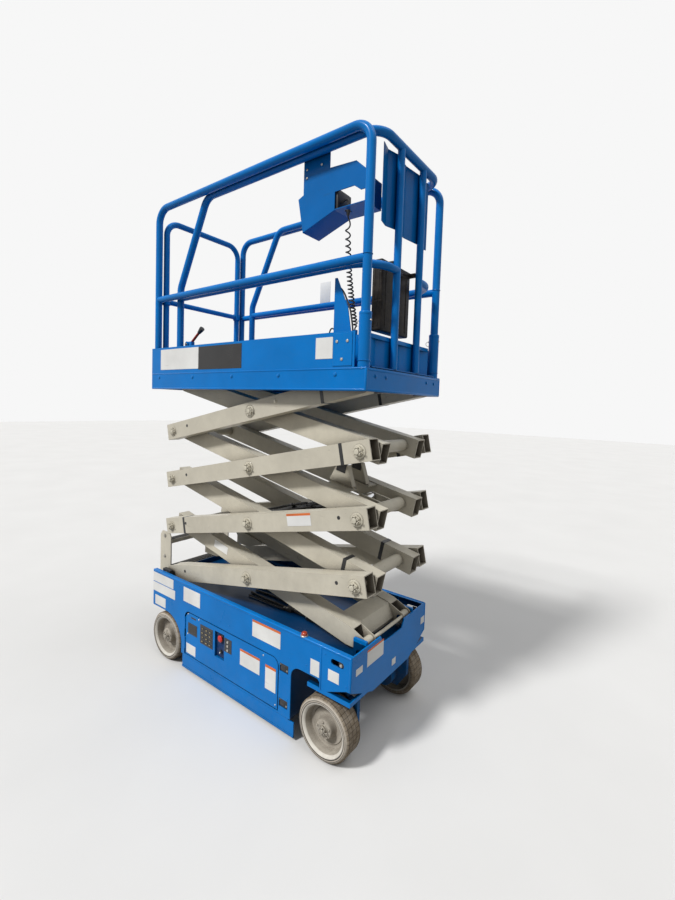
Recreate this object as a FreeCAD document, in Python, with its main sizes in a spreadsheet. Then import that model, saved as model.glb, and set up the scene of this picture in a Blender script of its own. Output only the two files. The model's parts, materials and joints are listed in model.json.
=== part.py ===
import FreeCAD, Part
import math
import os
import re

from FreeCAD import Placement, Rotation, Vector

# A small electric scissor lift, 0.76 m wide, on four solid tyres.
# +X is the steering end, +Z is up, the origin is on the floor under the middle of the machine.

# Driving dimensions, in millimetres and degrees: name, value
SIZES = (
    # wheels and running gear
    ("wheel_radius", 152.5),
    ("wheel_width", 114),
    ("tyre_thickness", 24),
    ("tyre_shoulder", 12),
    ("rim_wall", 8),
    ("rim_dish", 48),
    ("hub_radius", 45),
    ("spindle_radius", 25),
    ("fit", 0.05),
    ("axle_tube_radius", 32),
    ("kingpin_radius", 20),
    ("yoke_leg", 24),
    ("yoke_half_length", 40),
    ("steer_arm_length", 110),
    ("steer_pin_radius", 10),
    ("motor_radius", 55),
    ("motor_length", 56),
    # chassis
    ("chassis_half_width", 374),
    ("chassis_top", 560),
    ("chassis_floor", 104),
    ("plate", 8),
    ("notch_half_width", 95),
    ("notch_depth", 42),
    ("door_sheet", 5),
    ("door_gap", 6),
    ("knuckle", 24),
    ("guard_drop", 72),
    ("ladder_depth", 125),
    ("ladder_bottom", 230),
    ("ladder_bar", 65),
    # scissor stack
    ("half_arm", 760),
    ("lift_angle", 12),
    ("pivot_front_x", 820),
    ("arm_height", 102),
    ("arm_width", 76),
    ("arm_wall", 5),
    ("arm_overhang", 62),
    ("pin_radius", 16),
    ("boss_radius", 24),
    ("cross_tube_radius", 32),
    ("cross_tube_inset", 25),
    ("front_bar_radius", 9),
    ("block_length", 80),
    ("block_height", 58),
    ("cylinder_inset", 150),
    ("barrel_radius", 40),
    ("piston_rod_radius", 22),
    # platform
    ("band_height", 102),
    ("deck_above_pivot", 61),
    ("deck_sheet", 5),
    ("rail_radius", 21),
    ("rail_height", 1052),
    ("mid_rail_height", 478),
    ("rail_bend", 90),
    ("toe_height", 160),
    ("extension_travel", 914),
)

# Places that follow from the driving dimensions: name, formula
FOLLOWING = (
    # levels and ends of the scissor stack
    ("level_rise", "2 * half_arm * sin(lift_angle)"),
    ("reach", "2 * half_arm * cos(lift_angle)"),
    ("pivot_rear_x", "pivot_front_x - reach"),
    ("pivot_base_z", "chassis_top - 17"),
    ("platform_pivot_z", "pivot_base_z + 4 * level_rise"),
    ("deck_top", "platform_pivot_z + deck_above_pivot"),
    # running gear
    ("tyre_seat_radius", "wheel_radius - tyre_thickness"),
    # places along the machine
    ("chassis_rear", "pivot_rear_x - 98.2"),
    ("chassis_front", "pivot_front_x + 45"),
    ("rear_axle_x", "pivot_rear_x + wheel_radius - 92.7"),
    ("front_axle_x", "chassis_front - wheel_radius"),
    ("rear_arch_radius", "wheel_radius + 15.5"),
    ("bay_rear", "rear_axle_x + rear_arch_radius - 1"),
    ("bay_front", "front_axle_x - wheel_radius - 60"),
    ("door_rear", "bay_rear + 40"),
    ("door_front", "bay_front - 90"),
    ("platform_rear", "pivot_rear_x - 138.2"),
    ("platform_front", "pivot_front_x + 70"),
    # places across the machine
    ("track_half", "chassis_half_width + 6"),
    ("kingpin_y", "track_half - wheel_width - 16"),
    ("bay_inner", "kingpin_y - 92"),
    ("ledge_inner", "chassis_half_width - 54"),
    ("outer_arm_y", "ledge_inner - arm_width / 2 - 15"),
    ("inner_arm_y", "outer_arm_y - arm_width - 10"),
    ("ladder_half_width", "chassis_half_width - 124"),
    ("platform_half_width", "chassis_half_width + 2"),
    ("main_rail_y", "platform_half_width - rail_radius"),
    ("extension_rail_y", "main_rail_y - 2 * rail_radius - 12"),
    # heights
    ("trough_floor", "chassis_top - 76"),
    ("ledge_top", "chassis_top - 47"),
    ("yoke_top", "2 * wheel_radius + 25"),
    ("front_arch_top", "yoke_top + 60"),
    ("skirt_bottom", "2 * wheel_radius + 7"),
    ("door_bottom", "chassis_floor + 14"),
    ("door_top", "chassis_top - 176"),
    ("ladder_top", "chassis_top + 215"),
    # lift cylinder
    ("barrel_length", "0.737 * half_arm * 2"),
    ("piston_rod_length", "0.421 * half_arm * 2"),
)

doc = FreeCAD.newDocument("ScissorLift")
sheet = doc.addObject("Spreadsheet::Sheet", "Sizes")
rows = [(size_name, repr(float(value))) for size_name, value in SIZES]
rows += [(size_name, "=" + text) for size_name, text in FOLLOWING]
for row, (size_name, content) in enumerate(rows, 1):
    sheet.set(f"A{row}", size_name)
    sheet.set(f"B{row}", content)
    sheet.setAlias(f"B{row}", size_name)
doc.recompute()


def size(name):
    """The value of one named cell."""
    return float(sheet.get(name))


arm_length = 2 * size("half_arm")
rise = size("level_rise")
reach = size("reach")


def formula(text):
    """Adds the sheet's name to each size that the text names."""
    return re.sub(r"[a-z]\w*", lambda word: "Sizes." + word.group(0), str(text))


def block(name, x, y, z):
    """Box between two planes on each axis."""
    item = doc.addObject("Part::Box", name)
    for axis, side, (low, high) in (("x", "Length", x), ("y", "Width", y), ("z", "Height", z)):
        item.setExpression(side, formula(f"({high}) - ({low})"))
        item.setExpression(f"Placement.Base.{axis}", formula(low))
    return item


TURNS = {
    "x": Rotation(Vector(0, 1, 0), 90),
    "y": Rotation(Vector(1, 0, 0), -90),
    "z": Rotation(),
}


def rod(name, axis, centre, ends, radius):
    """Round bar along one axis: centre gives the other two coordinates in order, ends its two faces."""
    item = doc.addObject("Part::Cylinder", name)
    item.Placement = Placement(Vector(), TURNS[axis])
    item.setExpression("Radius", formula(radius))
    item.setExpression("Height", formula(f"({ends[1]}) - ({ends[0]})"))
    across = [letter for letter in "xyz" if letter != axis]
    for letter, place in zip(across, centre):
        item.setExpression(f"Placement.Base.{letter}", formula(place))
    item.setExpression(f"Placement.Base.{axis}", formula(ends[0]))
    return item


def fuse(name, pieces):
    item = doc.addObject("Part::MultiFuse", name)
    item.Shapes = pieces
    return item


def cut(name, base, tools):
    item = doc.addObject("Part::Cut", name)
    item.Base = base
    item.Tool = tools[0] if len(tools) == 1 else fuse(name + "_tools", tools)
    return item


def sided(side, low, high):
    """The y range from low to high, measured outwards on one side of the machine."""
    if side > 0:
        return (low, high)
    return (f"-({high})", f"-({low})")


PLANES = {"xz": "XZ_Plane", "yz": "YZ_Plane", "xy": "XY_Plane"}


def start_body(name):
    body = doc.addObject("PartDesign::Body", name)
    planes = {item.Role: item for item in body.Origin.OriginFeatures}
    return body, planes


def sketch_on(body, planes, plane, name, edges):
    sketch = body.newObject("Sketcher::SketchObject", name)
    sketch.AttachmentSupport = (planes[PLANES[plane]], [""])
    sketch.MapMode = "FlatFace"
    for edge in edges:
        sketch.addGeometry(edge, False)
    return sketch


def outline(points):
    """Closed outline: a plain point is a corner, and a point marked arc is passed by an arc."""
    edges = []
    corners = [point[:2] for point in points]
    count = len(points)
    index = 0
    while index < count:
        here = Vector(*corners[index], 0)
        after = points[(index + 1) % count]
        if len(after) == 3:
            end = Vector(*corners[(index + 2) % count], 0)
            edges.append(Part.Arc(here, Vector(*after[:2], 0), end))
            index += 2
        else:
            edges.append(Part.LineSegment(here, Vector(*after[:2], 0)))
            index += 1
    return edges


def plate(name, plane, points, low, high, holes=()):
    """Sheet of one outline between two planes across it; holes are centre and radius."""
    body, planes = start_body(name)
    edges = outline(points)
    for across, up, radius in holes:
        edges.append(Part.Circle(Vector(across, up, 0), Vector(0, 0, 1), radius))
    sketch = sketch_on(body, planes, plane, name + "_outline", edges)
    pad = body.newObject("PartDesign::Pad", name + "_pad")
    pad.Profile = sketch
    pad.setExpression("Length", formula(f"({high}) - ({low})"))
    if plane == "xz":
        # The sketch on this plane looks along +Y, so its pad grows towards -Y.
        body.setExpression("Placement.Base.y", formula(high))
    elif plane == "yz":
        body.setExpression("Placement.Base.x", formula(low))
    else:
        body.setExpression("Placement.Base.z", formula(low))
    return body


def bent_path(points, bend):
    """Straight runs joined by tangent arcs, as a list of edges."""
    edges = []
    start = Vector(*points[0])
    for index in range(1, len(points) - 1):
        corner = Vector(*points[index])
        back = (Vector(*points[index - 1]) - corner).normalize()
        ahead = (Vector(*points[index + 1]) - corner).normalize()
        half = back.getAngle(ahead) / 2
        inset = bend / math.tan(half)
        first = corner + back * inset
        last = corner + ahead * inset
        bisector = (back + ahead).normalize()
        middle = corner + bisector * (bend / math.sin(half) - bend)
        if (first - start).Length > 0.01:
            edges.append(Part.LineSegment(start, first).toShape())
        edges.append(Part.Arc(first, middle, last).toShape())
        start = last
    edges.append(Part.LineSegment(start, Vector(*points[-1])).toShape())
    return edges


def tube_shape(points, radius, bend):
    """Round bar swept along runs and arcs."""
    edges = bent_path(points, bend)
    start = Vector(*points[0])
    along = Vector(*points[1]) - start
    ring = Part.Wire([Part.Circle(start, along, radius).toShape()])
    return Part.Wire(edges).makePipeShell([ring], True, False)


def shape_node(name, shapes):
    """One sub-part from ready shapes."""
    item = doc.addObject("Part::Feature", name)
    joined = shapes[0]
    if len(shapes) > 1:
        joined = shapes[0].multiFuse(shapes[1:]).removeSplitter()
    item.Shape = joined
    return item


nodes = {}


def node(name, item):
    item.Label = name
    nodes[name] = item
    return item


SIDES = (("right", -1), ("left", 1))
ENDS = (("rear", "rear_axle_x"), ("front", "front_axle_x"))

# Tyres and rims: turned bodies on the wheel's own axis, one of each at every corner.


def turned(name, rings):
    """Turned body about the Y axis; rings are closed outlines of radius and place across the wheel."""
    body, planes = start_body(name)
    sketch = sketch_on(body, planes, "xy", name + "_section", outline(rings))
    turn = body.newObject("PartDesign::Revolution", name + "_turn")
    turn.Profile = sketch
    turn.ReferenceAxis = (sketch, ["V_Axis"])
    turn.Angle = 360
    return body


def tyre_section(side):
    seat = size("tyre_seat_radius")
    radius = size("wheel_radius")
    inner = size("track_half") - size("wheel_width")
    outer = size("track_half")
    shoulder = size("tyre_shoulder")
    points = (
        (seat, inner),
        (radius - shoulder, inner),
        (radius, inner + shoulder),
        (radius, outer - shoulder),
        (radius - shoulder, outer),
        (seat, outer),
    )
    return [(across, side * along) for across, along in points]


def rim_section(side):
    seat = size("tyre_seat_radius")
    bore = size("spindle_radius") + size("fit")
    inner = size("track_half") - size("wheel_width") + 2
    outer = size("track_half") - 2
    flange = seat - 2 * size("rim_wall")
    barrel = seat - size("rim_wall")
    disc_out = outer - size("rim_dish")
    disc_in = disc_out - size("rim_wall")
    hub = size("hub_radius")
    hub_end = outer - 16
    points = (
        (seat, inner),
        (seat, outer),
        (seat - 3, outer),
        (flange, outer - 10),
        (flange - 5, disc_out),
        (hub, disc_out),
        (hub, hub_end),
        (bore, hub_end),
        (bore, disc_in - 40),
        (hub, disc_in - 40),
        (hub, disc_in),
        (barrel, disc_in),
        (barrel, inner),
    )
    return [(across, side * along) for across, along in points]


for end_name, axle_x in ENDS:
    for side_name, side in SIDES:
        for piece, section in (("tyre", tyre_section), ("rim", rim_section)):
            wheel_piece = turned(f"{piece}_{end_name}_{side_name}", section(side))
            wheel_piece.setExpression("Placement.Base.x", formula(axle_x))
            wheel_piece.setExpression("Placement.Base.z", formula("wheel_radius"))
            node(f"{piece}_{end_name}_{side_name}", wheel_piece)

# Rear axle: a tube with turned spindles, welded through the chassis walls between the wheels.
SPINDLE_END = "track_half - 12"
axle_pieces = [
    rod("axle_tube", "y", ("rear_axle_x", "wheel_radius"), ("-bay_inner - 104", "bay_inner + 104"), "axle_tube_radius"),
    rod("axle_spindles", "y", ("rear_axle_x", "wheel_radius"), (f"-({SPINDLE_END})", SPINDLE_END), "spindle_radius"),
]
node("rear_axle", fuse("rear_axle_weldment", axle_pieces))

# Steer yokes: a kingpin over a leg that carries the drive motor and the wheel spindle.
axle_front = size("front_axle_x")
hub_z = size("wheel_radius")
neck = size("yoke_half_length")
yoke_points = (
    (axle_front - neck, size("yoke_top")),
    (axle_front - neck - 20, hub_z + 130),
    (axle_front - 90, hub_z + 130),
    (axle_front - 62, hub_z - 62),
    (axle_front + 62, hub_z - 62),
    (axle_front + 118, hub_z + 20),
    (axle_front + 118, hub_z + 130),
    (axle_front + neck + 20, hub_z + 130),
    (axle_front + neck, size("yoke_top")),
)
for side_name, side in SIDES:
    leg_outer = "track_half - wheel_width - 6"
    yoke_pieces = [
        plate(f"yoke_leg_{side_name}", "xz", yoke_points, *sided(side, f"{leg_outer} - yoke_leg", leg_outer)),
        rod(f"yoke_boss_{side_name}", "z", ("front_axle_x", f"{side} * kingpin_y"), ("yoke_top - 19", "yoke_top"), 38),
        rod(f"kingpin_{side_name}", "z", ("front_axle_x", f"{side} * kingpin_y"), ("yoke_top - 5", "yoke_top + 68"), "kingpin_radius"),
        rod(f"yoke_spindle_{side_name}", "y", ("front_axle_x", "wheel_radius"), sided(side, f"{leg_outer} - 2", SPINDLE_END), "spindle_radius"),
        rod(f"drive_motor_{side_name}", "y", ("front_axle_x", "wheel_radius"), sided(side, f"{leg_outer} - yoke_leg - motor_length", f"{leg_outer} - 4"), "motor_radius"),
        block(
            f"steer_arm_{side_name}",
            ("front_axle_x - steer_arm_length", "front_axle_x"),
            sided(side, "kingpin_y - 20", "kingpin_y + 10"),
            ("yoke_top - 18", "yoke_top - 8"),
        ),
        rod(f"steer_arm_eye_{side_name}", "z", ("front_axle_x - steer_arm_length", f"{side} * kingpin_y"), ("yoke_top - 18", "yoke_top - 8"), 20),
        rod(f"steer_pin_{side_name}", "z", ("front_axle_x - steer_arm_length", f"{side} * kingpin_y"), ("yoke_top - 42", "yoke_top - 10"), "steer_pin_radius"),
    ]
    node(f"steer_yoke_{side_name}", fuse(f"yoke_weldment_{side_name}", yoke_pieces))

# Tie rod: a round bar between two eyes on the steer arms' pins.
tie_x = "front_axle_x - steer_arm_length"
tie_z = "yoke_top - 30"
tie_pieces = [rod("tie_bar", "y", (tie_x, tie_z), ("-kingpin_y + 14", "kingpin_y - 14"), 9)]
tie_bores = []
for side_name, side in SIDES:
    centre = (tie_x, f"{side} * kingpin_y")
    tie_pieces.append(rod(f"tie_eye_{side_name}", "z", centre, (f"{tie_z} - 10", f"{tie_z} + 10"), 19))
    tie_bores.append(rod(f"tie_bore_{side_name}", "z", centre, (f"{tie_z} - 20", f"{tie_z} + 20"), "steer_pin_radius + fit"))
node("tie_rod", cut("tie_rod_bored", fuse("tie_rod_blank", tie_pieces), tie_bores))

# Door hinges: the height of each, and the radius of its knuckles and pin.
DOOR_HINGES = ("door_bottom + 30", "door_top - 110")
KNUCKLE_RADIUS = 5.5
HINGE_PIN = 3
# Rounded top corners of the doors and their openings, and the latch recesses in the skin beside them.
DOOR_CORNER = 40
LATCH_HEIGHTS = ("door_top - 52", "door_bottom + 28")
ARC_SHARE = 1 - math.sqrt(0.5)


def door_top_points(rear, front, top, radius):
    """Top edge of a door or its opening, from the rear forwards, with rounded corners."""
    return [
        (rear, top - radius), (rear + ARC_SHARE * radius, top - ARC_SHARE * radius, "arc"), (rear + radius, top),
        (front - radius, top), (front - ARC_SHARE * radius, top - ARC_SHARE * radius, "arc"), (front, top - radius),
    ]


# Chassis: a welded tub. Side bays lie behind the doors, the trough on top takes the folded arms.
skin_in = "chassis_half_width - plate"
chassis_pieces = [
    block("floor_plate", ("bay_rear", "bay_front"), (f"-({skin_in})", skin_in), ("chassis_floor", "chassis_floor + plate")),
    block("trough_plate", ("chassis_rear", "chassis_front"), ("-ledge_inner - plate", "ledge_inner + plate"), ("trough_floor - plate", "trough_floor")),
    block("bay_rear_wall", ("bay_rear", "bay_rear + plate"), (f"-({skin_in})", skin_in), ("chassis_floor", "trough_floor")),
    block("bay_front_wall", ("bay_front - plate", "bay_front"), (f"-({skin_in})", skin_in), ("chassis_floor", "trough_floor")),
    block("rear_panel", ("chassis_rear", "chassis_rear + plate"), ("-chassis_half_width", "chassis_half_width"), ("rear_arch_radius + wheel_radius + 20", "chassis_top - 40")),
    block("steer_beam", ("front_axle_x - 50", "front_axle_x + 50"), ("-kingpin_y - 45", "kingpin_y + 45"), ("yoke_top + 1", "front_arch_top + 30")),
]
for side_name, side in SIDES:
    chassis_pieces += [
        block(f"bay_wall_{side_name}", ("bay_rear", "bay_front"), sided(side, "bay_inner - plate", "bay_inner"), ("chassis_floor", "trough_floor")),
        block(f"frame_rail_{side_name}", ("bay_front - plate", "chassis_front"), sided(side, "kingpin_y - 50", "kingpin_y - 42"), ("front_arch_top", "trough_floor")),
        block(f"well_wall_{side_name}", ("chassis_rear", "bay_rear"), sided(side, "kingpin_y - 38", "kingpin_y - 30"), ("chassis_floor", "trough_floor")),
        block(f"trough_wall_{side_name}", ("chassis_rear", "chassis_front"), sided(side, "ledge_inner", "ledge_inner + plate"), ("trough_floor - plate", "ledge_top")),
        block(f"ledge_{side_name}", ("chassis_rear", "chassis_front"), sided(side, "ledge_inner", skin_in), ("ledge_top - plate", "ledge_top")),
        block(f"top_flange_{side_name}", ("chassis_rear", "chassis_front"), sided(side, "ledge_inner + 28", "chassis_half_width"), ("chassis_top - plate", "chassis_top")),
    ]
    rear = size("chassis_rear")
    front = size("chassis_front")
    top = size("chassis_top")
    axle = size("rear_axle_x")
    arch = size("rear_arch_radius")
    bay_front = size("bay_front")
    arch_top = size("front_arch_top")
    door_gap = size("door_gap")
    door_opening = door_top_points(
        size("door_rear") - door_gap, size("door_front") + door_gap, size("door_top") + door_gap, DOOR_CORNER + door_gap)
    skin_points = (
        (rear, hub_z + arch),
        (axle, hub_z + arch),
        (axle + arch * math.cos(math.radians(45)), hub_z + arch * math.sin(math.radians(45)), "arc"),
        (axle + arch, hub_z),
        (size("bay_rear"), size("chassis_floor")),
        (size("door_rear") - door_gap, size("chassis_floor")),
        *door_opening,
        (size("door_front") + door_gap, size("chassis_floor")),
        (bay_front, size("chassis_floor")),
        (bay_front, arch_top - 60),
        (bay_front + 17, arch_top - 17, "arc"),
        (bay_front + 60, arch_top),
        (axle_front - 40, arch_top),
        (axle_front - 25, arch_top - 15),
        (axle_front - 25, size("skirt_bottom") + 28),
        (axle_front - 8, size("skirt_bottom") + 28),
        (front - 22, arch_top + 8),
        (front, arch_top + 8),
        (front, top),
        (rear, top),
    )
    chassis_pieces.append(plate(
        f"side_skin_{side_name}", "xz", skin_points, *sided(side, skin_in, "chassis_half_width")))
    chassis_pieces.append(block(
        f"wheel_bar_{side_name}", ("front_axle_x - 104", "chassis_front"), sided(side, "chassis_half_width - 22", "chassis_half_width"),
        ("skirt_bottom + 17", "skirt_bottom + 38")))
    chassis_pieces.append(block(
        f"corner_bar_{side_name}", ("chassis_front - 14", "chassis_front"), sided(side, "kingpin_y - 90", "chassis_half_width"),
        ("skirt_bottom + 17", "skirt_bottom + 38")))
    chassis_pieces.append(block(
        f"pivot_ear_{side_name}", ("pivot_front_x - 40", "chassis_front - 10"),
        sided(side, "inner_arm_y + arm_width / 2 + 5", "outer_arm_y - arm_width / 2 + 10"),
        ("trough_floor - 1", "pivot_base_z + 32")))
    chassis_pieces.append(rod(
        f"base_pin_{side_name}", "y", ("pivot_front_x", "pivot_base_z"),
        sided(side, "inner_arm_y - arm_width / 2 + 1", "outer_arm_y - arm_width / 2 + 12"), "pin_radius"))
    for hinge_z in DOOR_HINGES:
        line = ("door_rear", f"{side} * chassis_half_width")
        for low in (hinge_z, f"{hinge_z} + 2 * knuckle + 0.6"):
            chassis_pieces.append(rod(
                f"frame_knuckle_{side_name}_{len(chassis_pieces)}", "z", line, (low, f"{low} + knuckle"), KNUCKLE_RADIUS))
            chassis_pieces.append(block(
                f"frame_leaf_{side_name}_{len(chassis_pieces)}", ("door_rear - door_gap - 2", "door_rear"),
                sided(side, "chassis_half_width - 4", "chassis_half_width"), (low, f"{low} + knuckle")))
        chassis_pieces.append(rod(
            f"hinge_pin_{side_name}_{len(chassis_pieces)}", "z", line, (hinge_z, f"{hinge_z} + 3 * knuckle"), HINGE_PIN))
    chassis_pieces.append(block(
        f"door_sill_{side_name}", ("bay_rear", "bay_front"), sided(side, "ledge_inner", "chassis_half_width"),
        ("chassis_floor", "door_bottom - 6")))

# Front panel: notched for the arms on top, and cut away over the wheels below.
half = size("chassis_half_width")
notch = size("notch_half_width")
notch_z = top - size("notch_depth")
kingpin = size("kingpin_y")
skirt = size("skirt_bottom")
panel_half = (
    (kingpin - 70, skirt),
    (kingpin + 10, skirt + 30),
    (half, arch_top + 8),
    (half, top),
    (notch + 25, top),
    (notch, notch_z),
)
panel_points = list(panel_half) + [(-across, up) for across, up in reversed(panel_half)]
chassis_pieces.append(plate("front_panel", "yz", panel_points, "chassis_front - plate", "chassis_front"))
chassis_blank = fuse("chassis_blank", chassis_pieces)
chassis_cuts = []
for side_name, side in SIDES:
    chassis_cuts.append(rod(
        f"kingpin_bore_{side_name}", "z", ("front_axle_x", f"{side} * kingpin_y"),
        ("yoke_top - 10", "yoke_top + 74"), "kingpin_radius + fit"))
chassis_cuts.append(rod(
    "axle_passage", "y", ("rear_axle_x", "wheel_radius"), ("-bay_inner - 104", "bay_inner + 104"), "axle_tube_radius"))

for side_name, side in SIDES:
    for latch_z in LATCH_HEIGHTS:
        chassis_cuts.append(block(
            f"latch_recess_{side_name}_{len(chassis_cuts)}", ("door_front + 12", "door_front + 72"),
            sided(side, "chassis_half_width - 20", "chassis_half_width + 5"), (latch_z, f"{latch_z} + 42")))

# Oblong tie-down slots through the side skins near the front corners.
SLOT_RADIUS = 14
slot_rear = "chassis_front - 102"
slot_front = "chassis_front - 54"
slot_z = "chassis_top - 52"
for slot_x in (slot_rear, slot_front):
    chassis_cuts.append(rod(
        f"slot_end_{len(chassis_cuts)}", "y", (slot_x, slot_z), ("-chassis_half_width - 5", "chassis_half_width + 5"), SLOT_RADIUS))
for side_name, side in SIDES:
    chassis_cuts.append(block(
        f"slot_middle_{side_name}", (slot_rear, slot_front), sided(side, "chassis_half_width - 20", "chassis_half_width + 5"),
        (f"{slot_z} - {SLOT_RADIUS}", f"{slot_z} + {SLOT_RADIUS}")))
node("chassis_frame", cut("chassis_bored", chassis_blank, chassis_cuts))

# Entry ladder: two side plates and three treads behind the chassis.
ladder_back = size("chassis_rear")
ladder_out = ladder_back - size("ladder_depth")
ladder_in = ladder_out + size("ladder_bar")
ladder_low = size("ladder_bottom")
ladder_high = size("ladder_top")
ladder_points = (
    (ladder_out, ladder_low),
    (ladder_in, ladder_low),
    (ladder_back, ladder_low + 130),
    (ladder_back, ladder_high - 28),
    (ladder_back - 22, ladder_high),
    (ladder_out + 22, ladder_high),
    (ladder_out, ladder_high - 28),
)
TIE_DOWN_RADIUS = 16
tie_down_hole = (ladder_out + 32, ladder_low + 34, TIE_DOWN_RADIUS)
ladder_pieces = []
for side_name, side in SIDES:
    ladder_pieces.append(plate(
        f"ladder_side_{side_name}", "xz", ladder_points, *sided(side, "ladder_half_width - plate", "ladder_half_width"),
        [tie_down_hole]))
for index, tread_z in enumerate(("ladder_bottom + 55", "(ladder_bottom + ladder_top) / 2 - 25", "ladder_top - 95")):
    ladder_pieces.append(block(
        f"tread_{index + 1}", (ladder_out, "chassis_rear - ladder_depth + ladder_bar"),
        ("-ladder_half_width + plate / 2", "ladder_half_width - plate / 2"), (tread_z, f"{tread_z} + 26")))
node("entry_ladder", fuse("ladder_weldment", ladder_pieces))

# Doors and pothole guards: sheet with folded returns, one of each on both sides.
# The right door carries the ground controls, with its stop button in a sunk box.
door_start = size("door_rear") + 8
door_points = [(door_start, size("door_bottom"))]
door_points += door_top_points(door_start, size("door_front"), size("door_top"), DOOR_CORNER)
door_points.append((size("door_front"), size("door_bottom")))
STOP_BOX_X = ("door_rear + 294", "door_rear + 379")
STOP_BOX_Z = ("door_top - 176", "door_top - 24")
for side_name, side in SIDES:
    line = ("door_rear", f"{side} * chassis_half_width")
    door_pieces = [
        plate(f"door_sheet_{side_name}", "xz", door_points,
              *sided(side, "chassis_half_width - door_sheet", "chassis_half_width")),
        block(f"door_fold_top_{side_name}", (f"door_rear + {DOOR_CORNER + 12}", f"door_front - {DOOR_CORNER + 2}"),
              sided(side, "chassis_half_width - 24", "chassis_half_width - 2"), ("door_top - door_sheet", "door_top")),
        block(f"door_fold_bottom_{side_name}", ("door_rear + 20", "door_front - 6"),
              sided(side, "chassis_half_width - 24", "chassis_half_width - 2"), ("door_bottom", "door_bottom + door_sheet")),
    ]
    bores = []
    for number, hinge_z in enumerate(DOOR_HINGES):
        low = f"{hinge_z} + knuckle + 0.3"
        door_pieces.append(rod(
            f"door_knuckle_{side_name}_{number}", "z", line, (low, f"{low} + knuckle"), KNUCKLE_RADIUS))
        door_pieces.append(block(
            f"door_leaf_{side_name}_{number}", ("door_rear", "door_rear + 30"),
            sided(side, "chassis_half_width - door_sheet", "chassis_half_width - 1"), (low, f"{low} + knuckle")))
        bores.append(rod(
            f"door_bore_{side_name}_{number}", "z", line, (f"{low} - 5", f"{low} + knuckle + 5"), f"{HINGE_PIN} + fit"))
    if side_name == "right":
        door_pieces.append(block(
            "stop_box", [f"{STOP_BOX_X[0]} - 3", f"{STOP_BOX_X[1]} + 3"],
            sided(side, "chassis_half_width - 18", "chassis_half_width - 2"),
            [f"{STOP_BOX_Z[0]} - 3", f"{STOP_BOX_Z[1]} + 3"]))
        bores.append(block(
            "stop_box_inside", STOP_BOX_X, sided(side, "chassis_half_width - 15", "chassis_half_width + 5"), STOP_BOX_Z))
    node(f"door_{side_name}", cut(f"door_bored_{side_name}", fuse(f"door_folded_{side_name}", door_pieces), bores))
    guard_span = ("bay_rear + 12", "bay_front + 25")
    guard_pieces = [
        block(f"guard_sheet_{side_name}", guard_span, sided(side, "chassis_half_width - 8", "chassis_half_width - 2"),
              ("chassis_floor - 12 - guard_drop", "chassis_floor - 6")),
        block(f"guard_hem_{side_name}", guard_span, sided(side, "chassis_half_width - 7", "chassis_half_width"),
              ("chassis_floor - 12 - guard_drop", "chassis_floor - guard_drop")),
        rod(f"guard_hinge_{side_name}", "x", (f"{side} * (chassis_half_width - 8)", "chassis_floor - 6"),
            ("bay_rear + 12", "bay_front - 14"), 5.7),
    ]
    node(f"pothole_guard_{side_name}", fuse(f"guard_folded_{side_name}", guard_pieces))

# Heavy masses in the bays, one plain block each.
node("battery_pack", block(
    "batteries", ("bay_rear + 60", "bay_front - 200"), ("-chassis_half_width + 24", "-bay_inner - 6"),
    ("chassis_floor + plate", "trough_floor - 54")))
node("power_unit", block(
    "hydraulics", ("bay_rear + 80", "bay_front - 220"), ("bay_inner + 6", "chassis_half_width - 24"),
    ("chassis_floor + plate", "trough_floor - 64")))

# Scissor arms: hollow sections with three bosses, in the arm's own frame from the rear pivot forwards.


def arm_outline(rear_radius, front_radius):
    """Side view of an arm; a radius of nothing gives a square open end."""
    tall = size("arm_height") / 2
    over = size("arm_overhang")
    taper = 90
    points = []
    if rear_radius:
        points += [(taper, tall), (0, rear_radius), (-rear_radius, 0, "arc"), (0, -rear_radius), (taper, -tall)]
    else:
        points += [(-over, tall), (-over, -tall)]
    if front_radius:
        points += [
            (arm_length - taper, -tall), (arm_length, -front_radius), (arm_length + front_radius, 0, "arc"),
            (arm_length, front_radius), (arm_length - taper, tall)]
    else:
        points += [(arm_length + over, -tall), (arm_length + over, tall)]
    return points


def arm_body(name, rear_radius, front_radius, bored):
    body, planes = start_body(name)
    stations = (0, arm_length / 2, arm_length)
    side_view = sketch_on(body, planes, "xz", name + "_side", outline(arm_outline(rear_radius, front_radius)))
    pad = body.newObject("PartDesign::Pad", name + "_pad")
    pad.Profile = side_view
    pad.SideType = "Symmetric"
    pad.setExpression("Length", formula("arm_width"))
    deep = size("arm_height") / 2 - size("arm_wall")
    wide = size("arm_width") / 2 - size("arm_wall")
    hollow_points = ((-wide, -deep), (wide, -deep), (wide, deep), (-wide, deep))
    section = sketch_on(body, planes, "yz", name + "_section", outline(hollow_points))
    hollow = body.newObject("PartDesign::Pocket", name + "_hollow")
    hollow.Profile = section
    hollow.SideType = "Symmetric"
    hollow.Length = 4 * arm_length
    rings = [Part.Circle(Vector(along, 0, 0), Vector(0, 0, 1), size("boss_radius")) for along in stations]
    boss_view = sketch_on(body, planes, "xz", name + "_bosses", rings)
    bosses = body.newObject("PartDesign::Pad", name + "_boss_pad")
    bosses.Profile = boss_view
    bosses.SideType = "Symmetric"
    bosses.setExpression("Length", formula("arm_width"))
    open_stations = [along for along, is_open in zip(stations, bored) if is_open]
    if open_stations:
        bore = size("pin_radius") + size("fit")
        circles = [Part.Circle(Vector(along, 0, 0), Vector(0, 0, 1), bore) for along in open_stations]
        bore_view = sketch_on(body, planes, "xz", name + "_bores", circles)
        bores = body.newObject("PartDesign::Pocket", name + "_bore_cut")
        bores.Profile = bore_view
        bores.SideType = "Symmetric"
        bores.Length = 4 * size("arm_width")
    return body


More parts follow.
